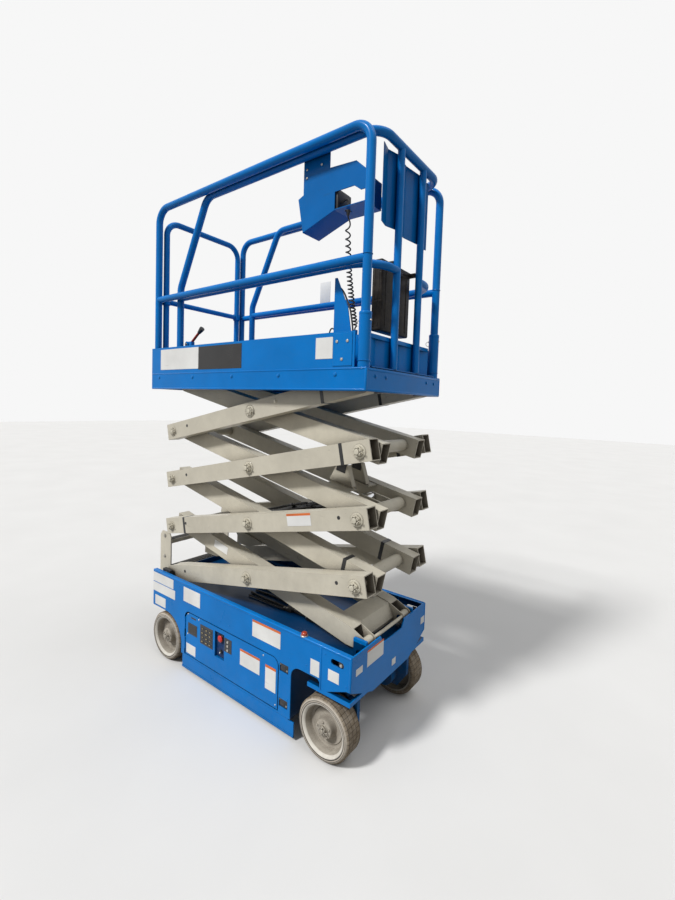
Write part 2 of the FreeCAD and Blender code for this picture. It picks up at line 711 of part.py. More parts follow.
def place_arm(item, y, rear_level, tilt):
    """Puts an arm's rear pivot at its level and tilts it about that pivot."""
    height = size("pivot_base_z") + rear_level * rise
    item.Placement = Placement(Vector(size("pivot_rear_x"), y, height), Rotation(Vector(0, 1, 0), tilt))
    return item


ALL_BORED = (True, True, True)
# level, rear end radius, front end radius, bores at rear, middle and front
INNER_ARMS = (
    (1, 0, 32, ALL_BORED),
    (2, 0, 0, ALL_BORED),
    (3, 0, 0, ALL_BORED),
    (4, 51, 0, (False, True, True)),
)
OUTER_ARMS = (
    (1, 45, 0, (False, False, False)),
    (2, 0, 0, (False, False, False)),
    (3, 0, 0, (False, False, False)),
    (4, 0, 51, (False, False, True)),
)


def place_in_arm(item, along, up, y, rear_level, tilt):
    """Puts a cross bar at its place along a tilted arm."""
    angle = math.radians(tilt)
    base = Vector(
        size("pivot_rear_x") + along * math.cos(angle) + up * math.sin(angle),
        y,
        size("pivot_base_z") + rear_level * rise - along * math.sin(angle) + up * math.cos(angle),
    )
    item.Placement = Placement(base, Rotation(Vector(0, 1, 0), tilt).multiply(TURNS["y"]))
    return item


def cross_bar(name, along, up, low, high, radius, rear_level, tilt):
    """Round bar across the machine, from y low to y high, carried by a tilted arm."""
    item = doc.addObject("Part::Cylinder", name)
    item.setExpression("Radius", formula(radius))
    item.Height = high - low
    return place_in_arm(item, along, up, low, rear_level, tilt)


tilt = size("lift_angle")
inner_face = size("inner_arm_y") - size("arm_width") / 2
outer_face = size("outer_arm_y") + size("arm_width") / 2
inset = size("cross_tube_inset")
CYLINDER_EAR = 12
under = -size("arm_height") / 2 + 2
over = size("arm_height") / 2 - 4
# Folded channel before the front pivot, and curved plates hanging under the rear of the lowest inner arms.
channel_points = (
    (arm_length - 190, over), (arm_length - 82, over), (arm_length - 34, over - 62), (arm_length - 34, under + 14),
    (arm_length - 40, under + 14), (arm_length - 40, over - 64), (arm_length - 85, over - 6), (arm_length - 190, over - 6))
cradle_points = (
    (40, under), (118, under - 12, "arc"), (168, under - 50), (178, under - 105), (300, under - 78), (440, under))
# Bridge plate and its two ribs over the front of the third inner frame, beside the rod's eye.
bridge_rear = arm_length - 330
bridge_points = (
    (bridge_rear, over - 8), (arm_length - 190, over - 8), (arm_length - 190, over),
    (arm_length - 205, over + 6), (arm_length - 268, over + 112), (bridge_rear + 4, over + 112), (bridge_rear - 30, over + 4))
BRIDGE_OPENING = 56
GUSSET_HALF_WIDTH = 74
ear_low = size("barrel_radius") + 4
for level, rear_radius, front_radius, bored in INNER_ARMS:
    pieces = []
    for side_name, side in SIDES:
        name = f"inner_arm_{level}_{side_name}"
        arm = arm_body(name, rear_radius, front_radius, bored)
        pieces.append(place_arm(arm, side * size("inner_arm_y"), level, tilt))
    tubes = [("rear", inset, 0, "cross_tube_radius"), ("front", arm_length - inset, 0, "cross_tube_radius")]
    if level == 1:
        tubes[1] = ("front", arm_length + 14, 14, "front_bar_radius")
    for place, along, up, tube in tubes:
        pieces.append(cross_bar(
            f"cross_tube_{level}_{place}", along, up, -inner_face - 0.5, inner_face + 0.5, tube, level, tilt))
    mount = {1: (inset, size("cylinder_inset")), 3: (arm_length - inset, arm_length - size("cylinder_inset"))}.get(level)
    if mount:
        tube_at, eye_at = mount
        low, high = sorted((tube_at, eye_at))
        for side_name, side in SIDES:
            ear_points = (
                (low, -30), (high, -30), (high + 30, 0, "arc"), (high, 30), (low, 30), (low - 30, 0, "arc"))
            bore = size("pin_radius") + size("fit") if level == 3 else None
            ear = plate(f"cylinder_ear_{level}_{side_name}", "xz", ear_points, "0", CYLINDER_EAR,
                        [(eye_at, 0, bore)] if bore else ())
            ear.setExpression("Placement.Base.y", None)
            start = side * ear_low + (CYLINDER_EAR if side > 0 else 0)
            pieces.append(place_arm(ear, start, level, tilt))
        if level == 1:
            channel = plate("front_channel", "xz", channel_points, "0", 2 * (inner_face + 1))
            channel.setExpression("Placement.Base.y", None)
            pieces.append(place_arm(channel, inner_face + 1, level, tilt))
            for side_name, side in SIDES:
                cradle = plate(f"cradle_plate_{side_name}", "xz", cradle_points, "0", CYLINDER_EAR)
                cradle.setExpression("Placement.Base.y", None)
                start = side * (inner_face + 1) + (0 if side > 0 else CYLINDER_EAR)
                pieces.append(place_arm(cradle, start, level, tilt))
            pieces.append(cross_bar(
                "barrel_pin", size("cylinder_inset"), 0, -ear_low - CYLINDER_EAR, ear_low + CYLINDER_EAR,
                "pin_radius", level, tilt))
    if level == 3:
        for side_name, side in SIDES:
            wing = plate(f"bridge_plate_{side_name}", "xz", (
                (bridge_rear, over - 8), (arm_length - 190, over - 8), (arm_length - 190, over), (bridge_rear, over)),
                "0", inner_face + 1 - BRIDGE_OPENING)
            wing.setExpression("Placement.Base.y", None)
            pieces.append(place_arm(wing, max(side * BRIDGE_OPENING, side * (inner_face + 1)), level, tilt))
            gusset = plate(f"bridge_gusset_{side_name}", "xz", bridge_points, "0", 12)
            gusset.setExpression("Placement.Base.y", None)
            pieces.append(place_arm(gusset, side * GUSSET_HALF_WIDTH + 6, level, tilt))
    if level == 4:
        for side_name, side in SIDES:
            start, stop = sorted((side * (size("inner_arm_y") - 20), side * (size("ledge_inner") + 24)))
            pieces.append(cross_bar(f"upper_slide_pin_{side_name}", 0, 0, start, stop, "pin_radius", level, tilt))
    node(f"inner_frame_{level}", fuse(f"inner_weldment_{level}", pieces))

NUT_THICKNESS = 10
for level, rear_radius, front_radius, bored in OUTER_ARMS:
    pieces = []
    for side_name, side in SIDES:
        name = f"outer_arm_{level}_{side_name}"
        arm = arm_body(name, rear_radius, front_radius, bored)
        pieces.append(place_arm(arm, side * size("outer_arm_y"), level - 1, -tilt))
        for place, along, has_bore in zip(("rear", "middle", "front"), (0, arm_length / 2, arm_length), bored):
            if has_bore:
                continue
            inner_end = inner_face + 1
            outer_end = outer_face + NUT_THICKNESS
            if level == 1 and place == "rear":
                inner_end = size("outer_arm_y") - 20
                outer_end = size("ledge_inner") + 24
            start, stop = sorted((side * inner_end, side * outer_end))
            pieces.append(cross_bar(
                f"pin_{level}_{place}_{side_name}", along, 0, start, stop, "pin_radius", level - 1, -tilt))
            if not (level == 1 and place == "rear"):
                nut = doc.addObject("Part::Prism", f"nut_{level}_{place}_{side_name}")
                nut.Polygon = 6
                nut.Circumradius = 26
                nut.Height = NUT_THICKNESS
                start = outer_face if side > 0 else -outer_face - NUT_THICKNESS
                pieces.append(place_in_arm(nut, along, 0, start, level - 1, -tilt))
    node(f"outer_arms_{level}", fuse(f"outer_weldment_{level}", pieces))

# Slide blocks: level blocks on the arms' end pins, in the chassis ledges and in the platform's tracks.
for place, height in (("lower", "pivot_base_z"), ("upper", "platform_pivot_z")):
    blocks = []
    for side_name, side in SIDES:
        body = block(
            f"{place}_block_{side_name}", ("pivot_rear_x - block_length / 2", "pivot_rear_x + block_length / 2"),
            sided(side, "ledge_inner - 2", "ledge_inner + 22"),
            (f"{height} - block_height / 2", f"{height} + block_height / 2"))
        bore = rod(
            f"{place}_block_bore_{side_name}", "y", ("pivot_rear_x", height),
            sided(side, "ledge_inner - 12", "ledge_inner + 32"), "pin_radius + fit")
        blocks.append(cut(f"{place}_block_bored_{side_name}", body, [bore]))
    node(f"{place}_slide_blocks", fuse(f"{place}_block_pair", blocks))

# Lift cylinder: its own frame lies along the barrel, from the base eye to the rod's eye.
angle = math.radians(tilt)
along_base = size("cylinder_inset")
along_eye = arm_length - size("cylinder_inset")
base_eye = Vector(
    size("pivot_rear_x") + along_base * math.cos(angle), 0,
    size("pivot_base_z") + rise - along_base * math.sin(angle))
rod_eye = Vector(
    size("pivot_rear_x") + along_eye * math.cos(angle), 0,
    size("pivot_base_z") + 3 * rise - along_eye * math.sin(angle))
cylinder_length = (rod_eye - base_eye).Length
cylinder_slope = -math.degrees(math.atan2(rod_eye.z - base_eye.z, rod_eye.x - base_eye.x))
EYE_HALF_WIDTH = 34


def lengthwise(name, start, stop, radius):
    """Round bar along the cylinder, from start to stop past the base eye."""
    item = doc.addObject("Part::Cylinder", name)
    item.setExpression("Radius", formula(radius))
    item.Height = stop - start
    item.Placement = Placement(Vector(start, 0, 0), TURNS["x"])
    return item


def eye(name, along, half_width, radius):
    item = doc.addObject("Part::Cylinder", name)
    item.Radius = radius
    item.Height = 2 * half_width
    item.Placement = Placement(Vector(along, -half_width, 0), TURNS["y"])
    return item


barrel_blank = fuse("barrel_blank", [
    lengthwise("barrel_skin", 30, size("barrel_length"), "barrel_radius"),
    lengthwise("barrel_gland", size("barrel_length") - 50, size("barrel_length"), "barrel_radius + 4"),
    eye("barrel_eye", 0, EYE_HALF_WIDTH, size("barrel_radius")),
])
barrel = cut("barrel_bored", barrel_blank, [
    lengthwise("barrel_bore", 80, size("barrel_length") + 10, "piston_rod_radius + fit"),
    eye("barrel_eye_bore", 0, EYE_HALF_WIDTH + 10, size("pin_radius") + size("fit")),
])
piston_rod = fuse("piston_rod", [
    lengthwise("rod_bar", cylinder_length - size("piston_rod_length"), cylinder_length, "piston_rod_radius"),
    eye("rod_eye", cylinder_length, EYE_HALF_WIDTH, 30),
])
for name, item in (("lift_cylinder_barrel", barrel), ("lift_cylinder_rod", piston_rod)):
    item.Placement = Placement(base_eye, Rotation(Vector(0, 1, 0), cylinder_slope))
    node(name, item)

# Platform: folded band round the deck, tracks for the upper blocks, ears for the top front pivots.
skirt_low = "deck_top - band_height"
platform_pieces = [
    block("deck", ("platform_rear", "platform_front"), ("-platform_half_width", "platform_half_width"), ("deck_top - deck_sheet", "deck_top")),
    block("band_front", ("platform_front - plate", "platform_front"), ("-platform_half_width", "platform_half_width"), (skirt_low, "deck_top")),
    block("band_rear", ("platform_rear", "platform_rear + plate"), ("-platform_half_width", "platform_half_width"), (skirt_low, "deck_top")),
]
for side_name, side in SIDES:
    platform_pieces += [
        block(f"band_{side_name}", ("platform_rear", "platform_front"), sided(side, "platform_half_width - 6", "platform_half_width"), (skirt_low, "deck_top")),
        block(f"track_web_{side_name}", ("platform_rear + plate", "90"), sided(side, "ledge_inner + 26", "ledge_inner + 34"), ("platform_pivot_z - block_height / 2 - 9", "deck_top - 1")),
        block(f"track_foot_{side_name}", ("platform_rear + plate", "90"), sided(side, "ledge_inner", "ledge_inner + 34"), ("platform_pivot_z - block_height / 2 - 9", "platform_pivot_z - block_height / 2 - 0.5")),
        block(f"track_head_{side_name}", ("platform_rear + plate", "90"), sided(side, "ledge_inner", "ledge_inner + 34"), ("platform_pivot_z + block_height / 2 + 0.5", "platform_pivot_z + block_height / 2 + 7")),
        block(f"top_ear_{side_name}", ("pivot_front_x - 40", "platform_front - 4"), sided(side, "outer_arm_y + arm_width / 2 + 5", "outer_arm_y + arm_width / 2 + 20"), ("platform_pivot_z - 32", "deck_top - 1")),
        rod(f"top_pin_{side_name}", "y", ("pivot_front_x", "platform_pivot_z"), sided(side, "outer_arm_y - arm_width / 2 + 1", "outer_arm_y + arm_width / 2 + 22"), "pin_radius"),
    ]
node("platform_frame", fuse("platform_weldment", platform_pieces))

# Toe boards of the main platform: rear and both sides, up to the front posts.
FRONT_POST_INSET = 33
toe_pieces = [block("toe_rear", ("platform_rear", "platform_rear + 6"), ("-main_rail_y", "main_rail_y"), ("deck_top", "deck_top + toe_height"))]
for side_name, side in SIDES:
    toe_pieces.append(block(
        f"toe_{side_name}", ("platform_rear", f"platform_front - {FRONT_POST_INSET + 32}"), sided(side, "platform_half_width - 4", "platform_half_width"),
        ("deck_top", "deck_top + toe_height")))
node("toe_boards", fuse("toe_board_set", toe_pieces))

# Main rails: a bent tube up, along and down on each side, with a mid rail.
deck = size("deck_top")
rail_top = deck + size("rail_height")
mid = deck + size("mid_rail_height")
radius = size("rail_radius")
bend = size("rail_bend")
rail_rear = size("platform_rear") + radius + 6
POST_SLEEVE = 240
rail_front = size("platform_front") - FRONT_POST_INSET
for side_name, side in SIDES:
    y = side * (size("main_rail_y") - 6)
    hoop = tube_shape(
        [(rail_rear, y, deck), (rail_rear, y, rail_top), (rail_front, y, rail_top), (rail_front, y, deck)], radius, bend)
    bar = tube_shape([(rail_rear, y, mid), (rail_front, y, mid)], radius - 1, bend)
    sleeve = Part.makeCylinder(radius + 7, POST_SLEEVE, Vector(rail_front, y, deck))
    node(f"main_rail_{side_name}", shape_node(f"main_rail_{side_name}", [hoop, bar, sleeve]))

# Rear hoop round the entry, and the mid rail that slides up on its posts to let people in.
hoop_y = size("main_rail_y") - 59
REAR_TUBE = 19
rear_hoop = tube_shape([
    (rail_rear, -hoop_y, deck), (rail_rear, -hoop_y, rail_top - 50),
    (rail_rear, hoop_y, rail_top - 50), (rail_rear, hoop_y, deck)], REAR_TUBE, bend)
node("rear_rail", shape_node("rear_rail", [rear_hoop]))
gate_pieces = [rod("gate_bar", "y", (rail_rear, mid), (-hoop_y + 24, hoop_y - 24), 17)]
for side_name, side in SIDES:
    centre = (rail_rear, side * hoop_y)
    gate_pieces.append(cut(
        f"gate_sleeve_{side_name}",
        rod(f"gate_collar_{side_name}", "z", centre, (mid - 22, mid + 22), REAR_TUBE + 7),
        [rod(f"gate_hole_{side_name}", "z", centre, (mid - 30, mid + 30), REAR_TUBE + 0.5)]))
node("entry_mid_rail", fuse("entry_mid_rail_set", gate_pieces))

# Extension deck: a sliding floor with its own toe boards, rails, front posts and panels.
node("extension_deck", fuse("extension_floor_set", [
    block("extension_floor", ("platform_rear + 165", "platform_front - 10"), ("-extension_rail_y - 20", "extension_rail_y + 20"), ("deck_top + 5", "deck_top + 10")),
    block("extension_runner_right", ("platform_rear + 165", "platform_front - 20"), ("-extension_rail_y + 1", "-extension_rail_y + 21"), ("deck_top + 0.5", "deck_top + 6")),
    block("extension_runner_left", ("platform_rear + 165", "platform_front - 20"), ("extension_rail_y - 21", "extension_rail_y - 1"), ("deck_top + 0.5", "deck_top + 6")),
    block("extension_toe_right", ("platform_rear + 205", "platform_front - 60"), ("-extension_rail_y + 21.2", "-extension_rail_y + 25.2"), ("deck_top + 6", "deck_top + toe_height")),
    block("extension_toe_left", ("platform_rear + 205", "platform_front - 60"), ("extension_rail_y - 25.2", "extension_rail_y - 21.2"), ("deck_top + 6", "deck_top + toe_height")),
]))
front_x = size("platform_front") - radius
rail_y = size("extension_rail_y")
extension_knee = size("platform_rear") + 200
extension_rear_top = size("platform_rear") + 460
knee_z = deck + 540
extension_floor = deck + 10
hoop = tube_shape([
    (extension_knee, -rail_y, extension_floor), (extension_knee, -rail_y, knee_z),
    (extension_rear_top, -rail_y, rail_top - 6), (front_x, -rail_y, rail_top - 6),
    (front_x, rail_y, rail_top - 6), (extension_rear_top, rail_y, rail_top - 6),
    (extension_knee, rail_y, knee_z), (extension_knee, rail_y, extension_floor)], radius, bend)
POST_RADIUS = radius - 3
POST_HALF_SPACING = 0.375 * rail_y
MID_BEND = 0.8 * (rail_y - POST_HALF_SPACING)
front_tubes = []
for side_name, side in SIDES:
    y = side * POST_HALF_SPACING
    front_tubes.append(tube_shape([(front_x, y, extension_floor), (front_x, y, rail_top - 6)], POST_RADIUS, bend))
    front_tubes.append(tube_shape([
        (extension_knee, side * rail_y, mid), (front_x, side * rail_y, mid), (front_x, y, mid)], radius - 2, MID_BEND))
node("extension_rail", shape_node("extension_rail", [hoop] + front_tubes))
panel_back = front_x - POST_RADIUS - 0.3
PANEL_SHEET = 3


def folded_panel(name, z_low, z_high, folds):
    """Zigzag sheet seen from above; folds are places across the machine, and every second one is a ridge."""
    ridge = [(panel_back - (16 if index % 2 else 0), across) for index, across in enumerate(folds)]
    behind = [(x - PANEL_SHEET, across) for x, across in reversed(ridge)]
    return plate(name, "xy", ridge + behind, z_low, z_high)


step = POST_HALF_SPACING
node("front_panel_folded", folded_panel(
    "upper_front_panel", rail_top - 380, rail_top - 34,
    (-2.1 * step, -1.55 * step, -step, 0, step, 1.45 * step, 1.9 * step)))
toe_lip = "deck_top + toe_height"
toe_folds = folded_panel("lower_front_panel", extension_floor, toe_lip, (-2.6 * step, -2 * step, -step, 0, step, 2 * step, 2.6 * step))
lip = block("toe_panel_lip", (panel_back - 20, panel_back), (-2.6 * step, 2.6 * step), (f"{toe_lip} - 4", toe_lip))
node("front_toe_panel", fuse("front_toe_panel_set", [toe_folds, lip]))

# Control guard: a folded sheet cradle that hangs under the near rail by a tab, round the platform controls.
guard_side = "-extension_rail_y + rail_radius + 0.3"
guard_x = size("platform_front") - 480
guard_top = rail_top - 78
face_points = (
    (guard_x, guard_top - 278), (guard_x + 200, guard_top - 212), (guard_x + 200, guard_top - 132),
    (guard_x + 312, guard_top - 132), (guard_x + 350, guard_top - 160), (guard_x + 380, guard_top - 160),
    (guard_x + 380, guard_top - 76), (guard_x + 320, guard_top - 22), (guard_x, guard_top),
    (guard_x, guard_top - 98), (guard_x - 34, guard_top - 112))
floor_points = (
    (guard_x, guard_top - 278), (guard_x + 200, guard_top - 212), (guard_x + 380, guard_top - 212),
    (guard_x + 380, guard_top - 216), (guard_x + 201, guard_top - 216), (guard_x, guard_top - 283))
guard_depth = f"{guard_side} + 130"
guard_pieces = [
    plate("guard_face", "xz", face_points, guard_side, f"{guard_side} + 4"),
    plate("guard_floor", "xz", floor_points, guard_side, guard_depth),
    block("guard_tab", (guard_x, guard_x + 165), (guard_side, f"{guard_side} + 4"), (guard_top - 12, "deck_top + rail_height")),
    block("guard_front", (guard_x + 376, guard_x + 380), (guard_side, guard_depth), (guard_top - 216, guard_top - 90)),
]
cord_y = f"{guard_side} + 44"
control_cut = rod("cord_hole", "z", (guard_x + 250, cord_y), (guard_top - 240, guard_top - 200), 17)
node("control_guard", cut("control_guard_cut", fuse("control_guard_blank", guard_pieces), [control_cut]))
case_z = guard_top - 211.8
node("control_box", fuse("control_box_set", [
    block("control_case", (guard_x + 112, guard_x + 270), (f"{guard_side} + 10", f"{guard_side} + 120"), (case_z, case_z + 112)),
    rod("joystick", "z", (guard_x + 160, f"{guard_side} + 60"), (case_z + 112, case_z + 190), 14),
    rod("cord_gland_top", "z", (guard_x + 250, cord_y), (case_z - 24, case_z + 2), 12),
]))

# Curly cord from the control box down to its gland on the bracket, as the fat tube that it fills.
bracket_x = size("platform_front") - 265
bracket_side = "-extension_rail_y + rail_radius + 4.5"
cord_line = -size("extension_rail_y") + size("rail_radius") + 44.3
gland_z = deck + 190
node("control_cord", shape_node("control_cord", [tube_shape([
    (guard_x + 250, cord_line, case_z - 25.2), (guard_x + 268, cord_line, (case_z + gland_z) / 2),
    (guard_x + 312, cord_line, gland_z + 2.5)], 15, 400)]))
bracket_points = (
    (bracket_x, deck + 16), (bracket_x + 105, deck + 16), (bracket_x + 105, deck + 165), (bracket_x + 82, deck + 290),
    (bracket_x + 14, deck + 437), (bracket_x, deck + 437))
node("cord_bracket", fuse("cord_bracket_set", [
    plate("bracket_sheet", "xz", bracket_points, bracket_side, f"{bracket_side} + 4"),
    block("bracket_shelf", (bracket_x + 40, bracket_x + 100), (bracket_side, f"{bracket_side} + 52"), (gland_z - 26, gland_z - 20)),
    rod("cord_gland_bottom", "z", (guard_x + 312, f"{guard_side} + 44"), (gland_z - 21, gland_z), 14),
]))
holder_front = panel_back - 31
holder_pieces = [block("manual_box", (size("platform_front") - 132, holder_front), (-2 * step, step + 10), (deck + 193, deck + 532))]
for side_name, side in SIDES:
    holder_pieces.append(block(
        f"holder_hook_{side_name}", (holder_front - 1, panel_back), (side * step - 8, side * step + 8), (deck + 504, deck + 526)))
node("manual_holder", fuse("manual_holder_set", holder_pieces))
# Release lever of the extension, on its right toe board: a plate and a bar that leans forwards.
lever_x = size("platform_rear") + 240
lever_base = Vector(lever_x, -size("extension_rail_y") + size("rail_radius") + 16.5, deck + 180)
lever_way = Vector(135, 0, 99)
lever_bar = doc.addObject("Part::Cylinder", "lever_bar")
lever_bar.Radius = 8
lever_bar.Height = lever_way.Length
lever_bar.Placement = Placement(lever_base, Rotation(Vector(0, 0, 1), lever_way))
node("release_lever", fuse("release_lever_set", [
    block("lever_plate", (lever_x - 18, lever_x + 40), (bracket_side, f"{bracket_side} + 6"), (deck + 112, deck + 205)),
    lever_bar,
]))
node("amber_light", rod(
    "amber_lamp", "z", ("chassis_front - 295", "-chassis_half_width + 14"), ("chassis_top", "chassis_top + 24"), 15))

# The model is worked out, tested and written, one file for each sub-part.
doc.recompute()
for item in doc.Objects:
    if "Invalid" in item.State or "Error" in item.State:
        raise RuntimeError(f"{item.Name} failed: {item.State}")
os.makedirs("parts", exist_ok=True)
for name, item in nodes.items():
    if item.Shape.isNull() or not item.Shape.isValid():
        raise RuntimeError(f"{name} has no valid shape")
    item.Shape.exportStep(f"parts/{name}.step")
print(len(nodes), "sub-parts written")
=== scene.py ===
import bpy, json, math
from mathutils import Euler, Matrix, Vector


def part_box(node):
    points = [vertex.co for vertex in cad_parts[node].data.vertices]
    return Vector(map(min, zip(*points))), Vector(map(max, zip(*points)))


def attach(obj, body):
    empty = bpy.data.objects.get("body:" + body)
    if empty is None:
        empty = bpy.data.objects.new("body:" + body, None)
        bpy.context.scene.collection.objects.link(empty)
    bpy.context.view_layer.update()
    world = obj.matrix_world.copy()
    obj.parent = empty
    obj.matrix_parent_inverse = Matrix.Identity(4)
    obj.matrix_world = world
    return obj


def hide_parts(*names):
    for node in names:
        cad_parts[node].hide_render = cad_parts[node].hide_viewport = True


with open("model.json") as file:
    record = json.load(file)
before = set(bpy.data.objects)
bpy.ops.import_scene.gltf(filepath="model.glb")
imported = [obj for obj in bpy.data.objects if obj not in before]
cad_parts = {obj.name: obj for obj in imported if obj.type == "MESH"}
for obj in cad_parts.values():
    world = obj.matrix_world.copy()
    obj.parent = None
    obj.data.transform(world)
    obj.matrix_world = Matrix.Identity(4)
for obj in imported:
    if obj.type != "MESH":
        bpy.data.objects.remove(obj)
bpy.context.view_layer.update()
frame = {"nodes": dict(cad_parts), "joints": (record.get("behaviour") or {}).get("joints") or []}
nodes = frame["nodes"]

# Camera. A wide phone lens stands at head height off the front right corner,
# tipped a little down and turned a little about its own axis.
TIP, ROLL, HEADING = 86.854, -1.904, 36.778
camera_data = bpy.data.cameras.new("camera")
camera_data.lens = 17.5
camera_data.sensor_width = 36
camera_data.shift_x = -0.0036
camera_data.shift_y = -0.0236
camera = bpy.data.objects.new("camera", camera_data)
camera.location = (1.938, -1.954, 1.702)
camera.rotation_euler = Euler([math.radians(angle) for angle in (TIP, ROLL, HEADING)])
bpy.context.scene.collection.objects.link(camera)
bpy.context.scene.camera = camera


# Studio: a plain pale floor under a soft key light from the left and a wide, weaker light
# from above. Camera, mirrors and glass see floor and world as one pale background.
def set_sockets(tree, item, sockets):
    """Gives a node's inputs their values, or joins them to other nodes' outputs."""
    for name, value in sockets.items():
        if isinstance(value, bpy.types.NodeSocket):
            tree.links.new(value, item.inputs[name])
        else:
            item.inputs[name].default_value = value


def add_node(tree, kind, sockets=None, **values):
    """One node with its settings and its inputs, laid out in columns of five."""
    item = tree.nodes.new(kind)
    column, row = divmod(len(tree.nodes), 5)
    item.location = (-2400 + 240 * column, 700 - 340 * row)
    for name, value in values.items():
        setattr(item, name, value)
    set_sockets(tree, item, sockets or {})
    return item


def math_node(tree, operation, *values):
    """The result of a Math node on numbers and other nodes' outputs."""
    return add_node(tree, "ShaderNodeMath", dict(enumerate(values)), operation=operation).outputs[0]


def range_node(tree, value, from_low, from_high, to_low=0.0, to_high=1.0):
    """A value brought from one range to another."""
    return add_node(tree, "ShaderNodeMapRange", {
        "Value": value, "From Min": from_low, "From Max": from_high,
        "To Min": to_low, "To Max": to_high}).outputs["Result"]


def noise_node(tree, place, scale, detail=2.0, roughness=0.5):
    """The value of a noise texture at a place."""
    return add_node(tree, "ShaderNodeTexNoise", {
        "Vector": place, "Scale": scale, "Detail": detail, "Roughness": roughness}).outputs["Fac"]


def mix_node(tree, share, first, second, blend="MIX"):
    """Two colours mixed by a share."""
    return add_node(tree, "ShaderNodeMix", {"Factor": share, "A": first, "B": second},
                    data_type="RGBA", blend_type=blend).outputs["Result"]


def object_place(tree):
    """The place on a piece, in the piece's own coordinates."""
    return add_node(tree, "ShaderNodeTexCoord").outputs["Object"]


def looked_at(tree):
    """1 where the camera, a mirror or glass looks at a surface, and 0 for the light on other pieces."""
    rays = add_node(tree, "ShaderNodeLightPath").outputs
    mirrored = math_node(tree, "MAXIMUM", rays["Is Glossy Ray"], rays["Is Transmission Ray"])
    return math_node(tree, "MAXIMUM", rays["Is Camera Ray"], mirrored)


def shader_of(material):
    """A material's Principled shader."""
    return material.node_tree.nodes["Principled BSDF"]


def plain_material(name, colour, roughness, metallic=0.0):
    """A material of one colour, before its pattern is added."""
    material = bpy.data.materials.new(name)
    material.use_nodes = True
    set_sockets(material.node_tree, shader_of(material), {
        "Base Color": (*colour, 1), "Roughness": roughness, "Metallic": metallic})
    return material


FLOOR_BOUNCE = (0.20, 0.19, 0.175, 1)
bpy.ops.object.select_all(action="DESELECT")
bpy.ops.mesh.primitive_plane_add(size=60, location=(0, 0, 0))
floor = bpy.context.object
floor.name = "floor"
floor_paint = plain_material("floor_paint", (0.80, 0.79, 0.77), 0.75)
floor_tree = floor_paint.node_tree
floor_ramp = add_node(floor_tree, "ShaderNodeValToRGB", {
    "Fac": noise_node(floor_tree, object_place(floor_tree), 1.2, 8)})
floor_ramp.color_ramp.elements[0].color = (0.76, 0.75, 0.73, 1)
floor_ramp.color_ramp.elements[1].color = (0.84, 0.83, 0.81, 1)
set_sockets(floor_tree, shader_of(floor_paint), {
    "Base Color": mix_node(floor_tree, looked_at(floor_tree), FLOOR_BOUNCE, floor_ramp.outputs["Color"])})
floor.data.materials.append(floor_paint)

world = bpy.data.worlds.new("studio")
bpy.context.scene.world = world
world.use_nodes = True
sky = world.node_tree
sky.nodes.clear()
sky_light = add_node(sky, "ShaderNodeBackground", {"Color": (0.95, 0.97, 1, 1), "Strength": 0.32})
sky_seen = add_node(sky, "ShaderNodeBackground", {"Color": (0.93, 0.93, 0.93, 1)})
sky_mix = add_node(sky, "ShaderNodeMixShader", {
    "Fac": looked_at(sky), 1: sky_light.outputs[0], 2: sky_seen.outputs[0]})
add_node(sky, "ShaderNodeOutputWorld", {"Surface": sky_mix.outputs[0]})

for lamp_name, strength, spread, lamp_from in (
        ("key", 2.55, 9, (-0.32, -1.0, 1.10)),
        ("overhead", 0.55, 40, (0.5, 0.1, 1.0))):
    lamp_data = bpy.data.lights.new(lamp_name, "SUN")
    lamp_data.energy = strength
    lamp_data.angle = math.radians(spread)
    lamp = bpy.data.objects.new(lamp_name, lamp_data)
    lamp.rotation_euler = (-Vector(lamp_from)).to_track_quat("-Z", "Y").to_euler()
    bpy.context.scene.collection.objects.link(lamp)
bpy.context.scene.view_settings.view_transform = "Standard"


# Tyres: solid pale grey non-marking rubber pressed onto the rims, with shallow tread
# cuts, a browner, darker tread that is partly scuffs and dirt and partly painted shade, and marks of floor dirt.
def new_group(name, inputs):
    """An empty surface group with its named inputs, and what those inputs put into it."""
    group = bpy.data.node_groups.new(name, "ShaderNodeTree")
    for label, kind, value in inputs:
        socket = group.interface.new_socket(label, in_out="INPUT", socket_type=f"NodeSocket{kind}")
        socket.default_value = value
    for label, kind in (("Color", "Color"), ("Roughness", "Float"), ("Height", "Float")):
        group.interface.new_socket(label, in_out="OUTPUT", socket_type=f"NodeSocket{kind}")
    return group, add_node(group, "NodeGroupInput").outputs


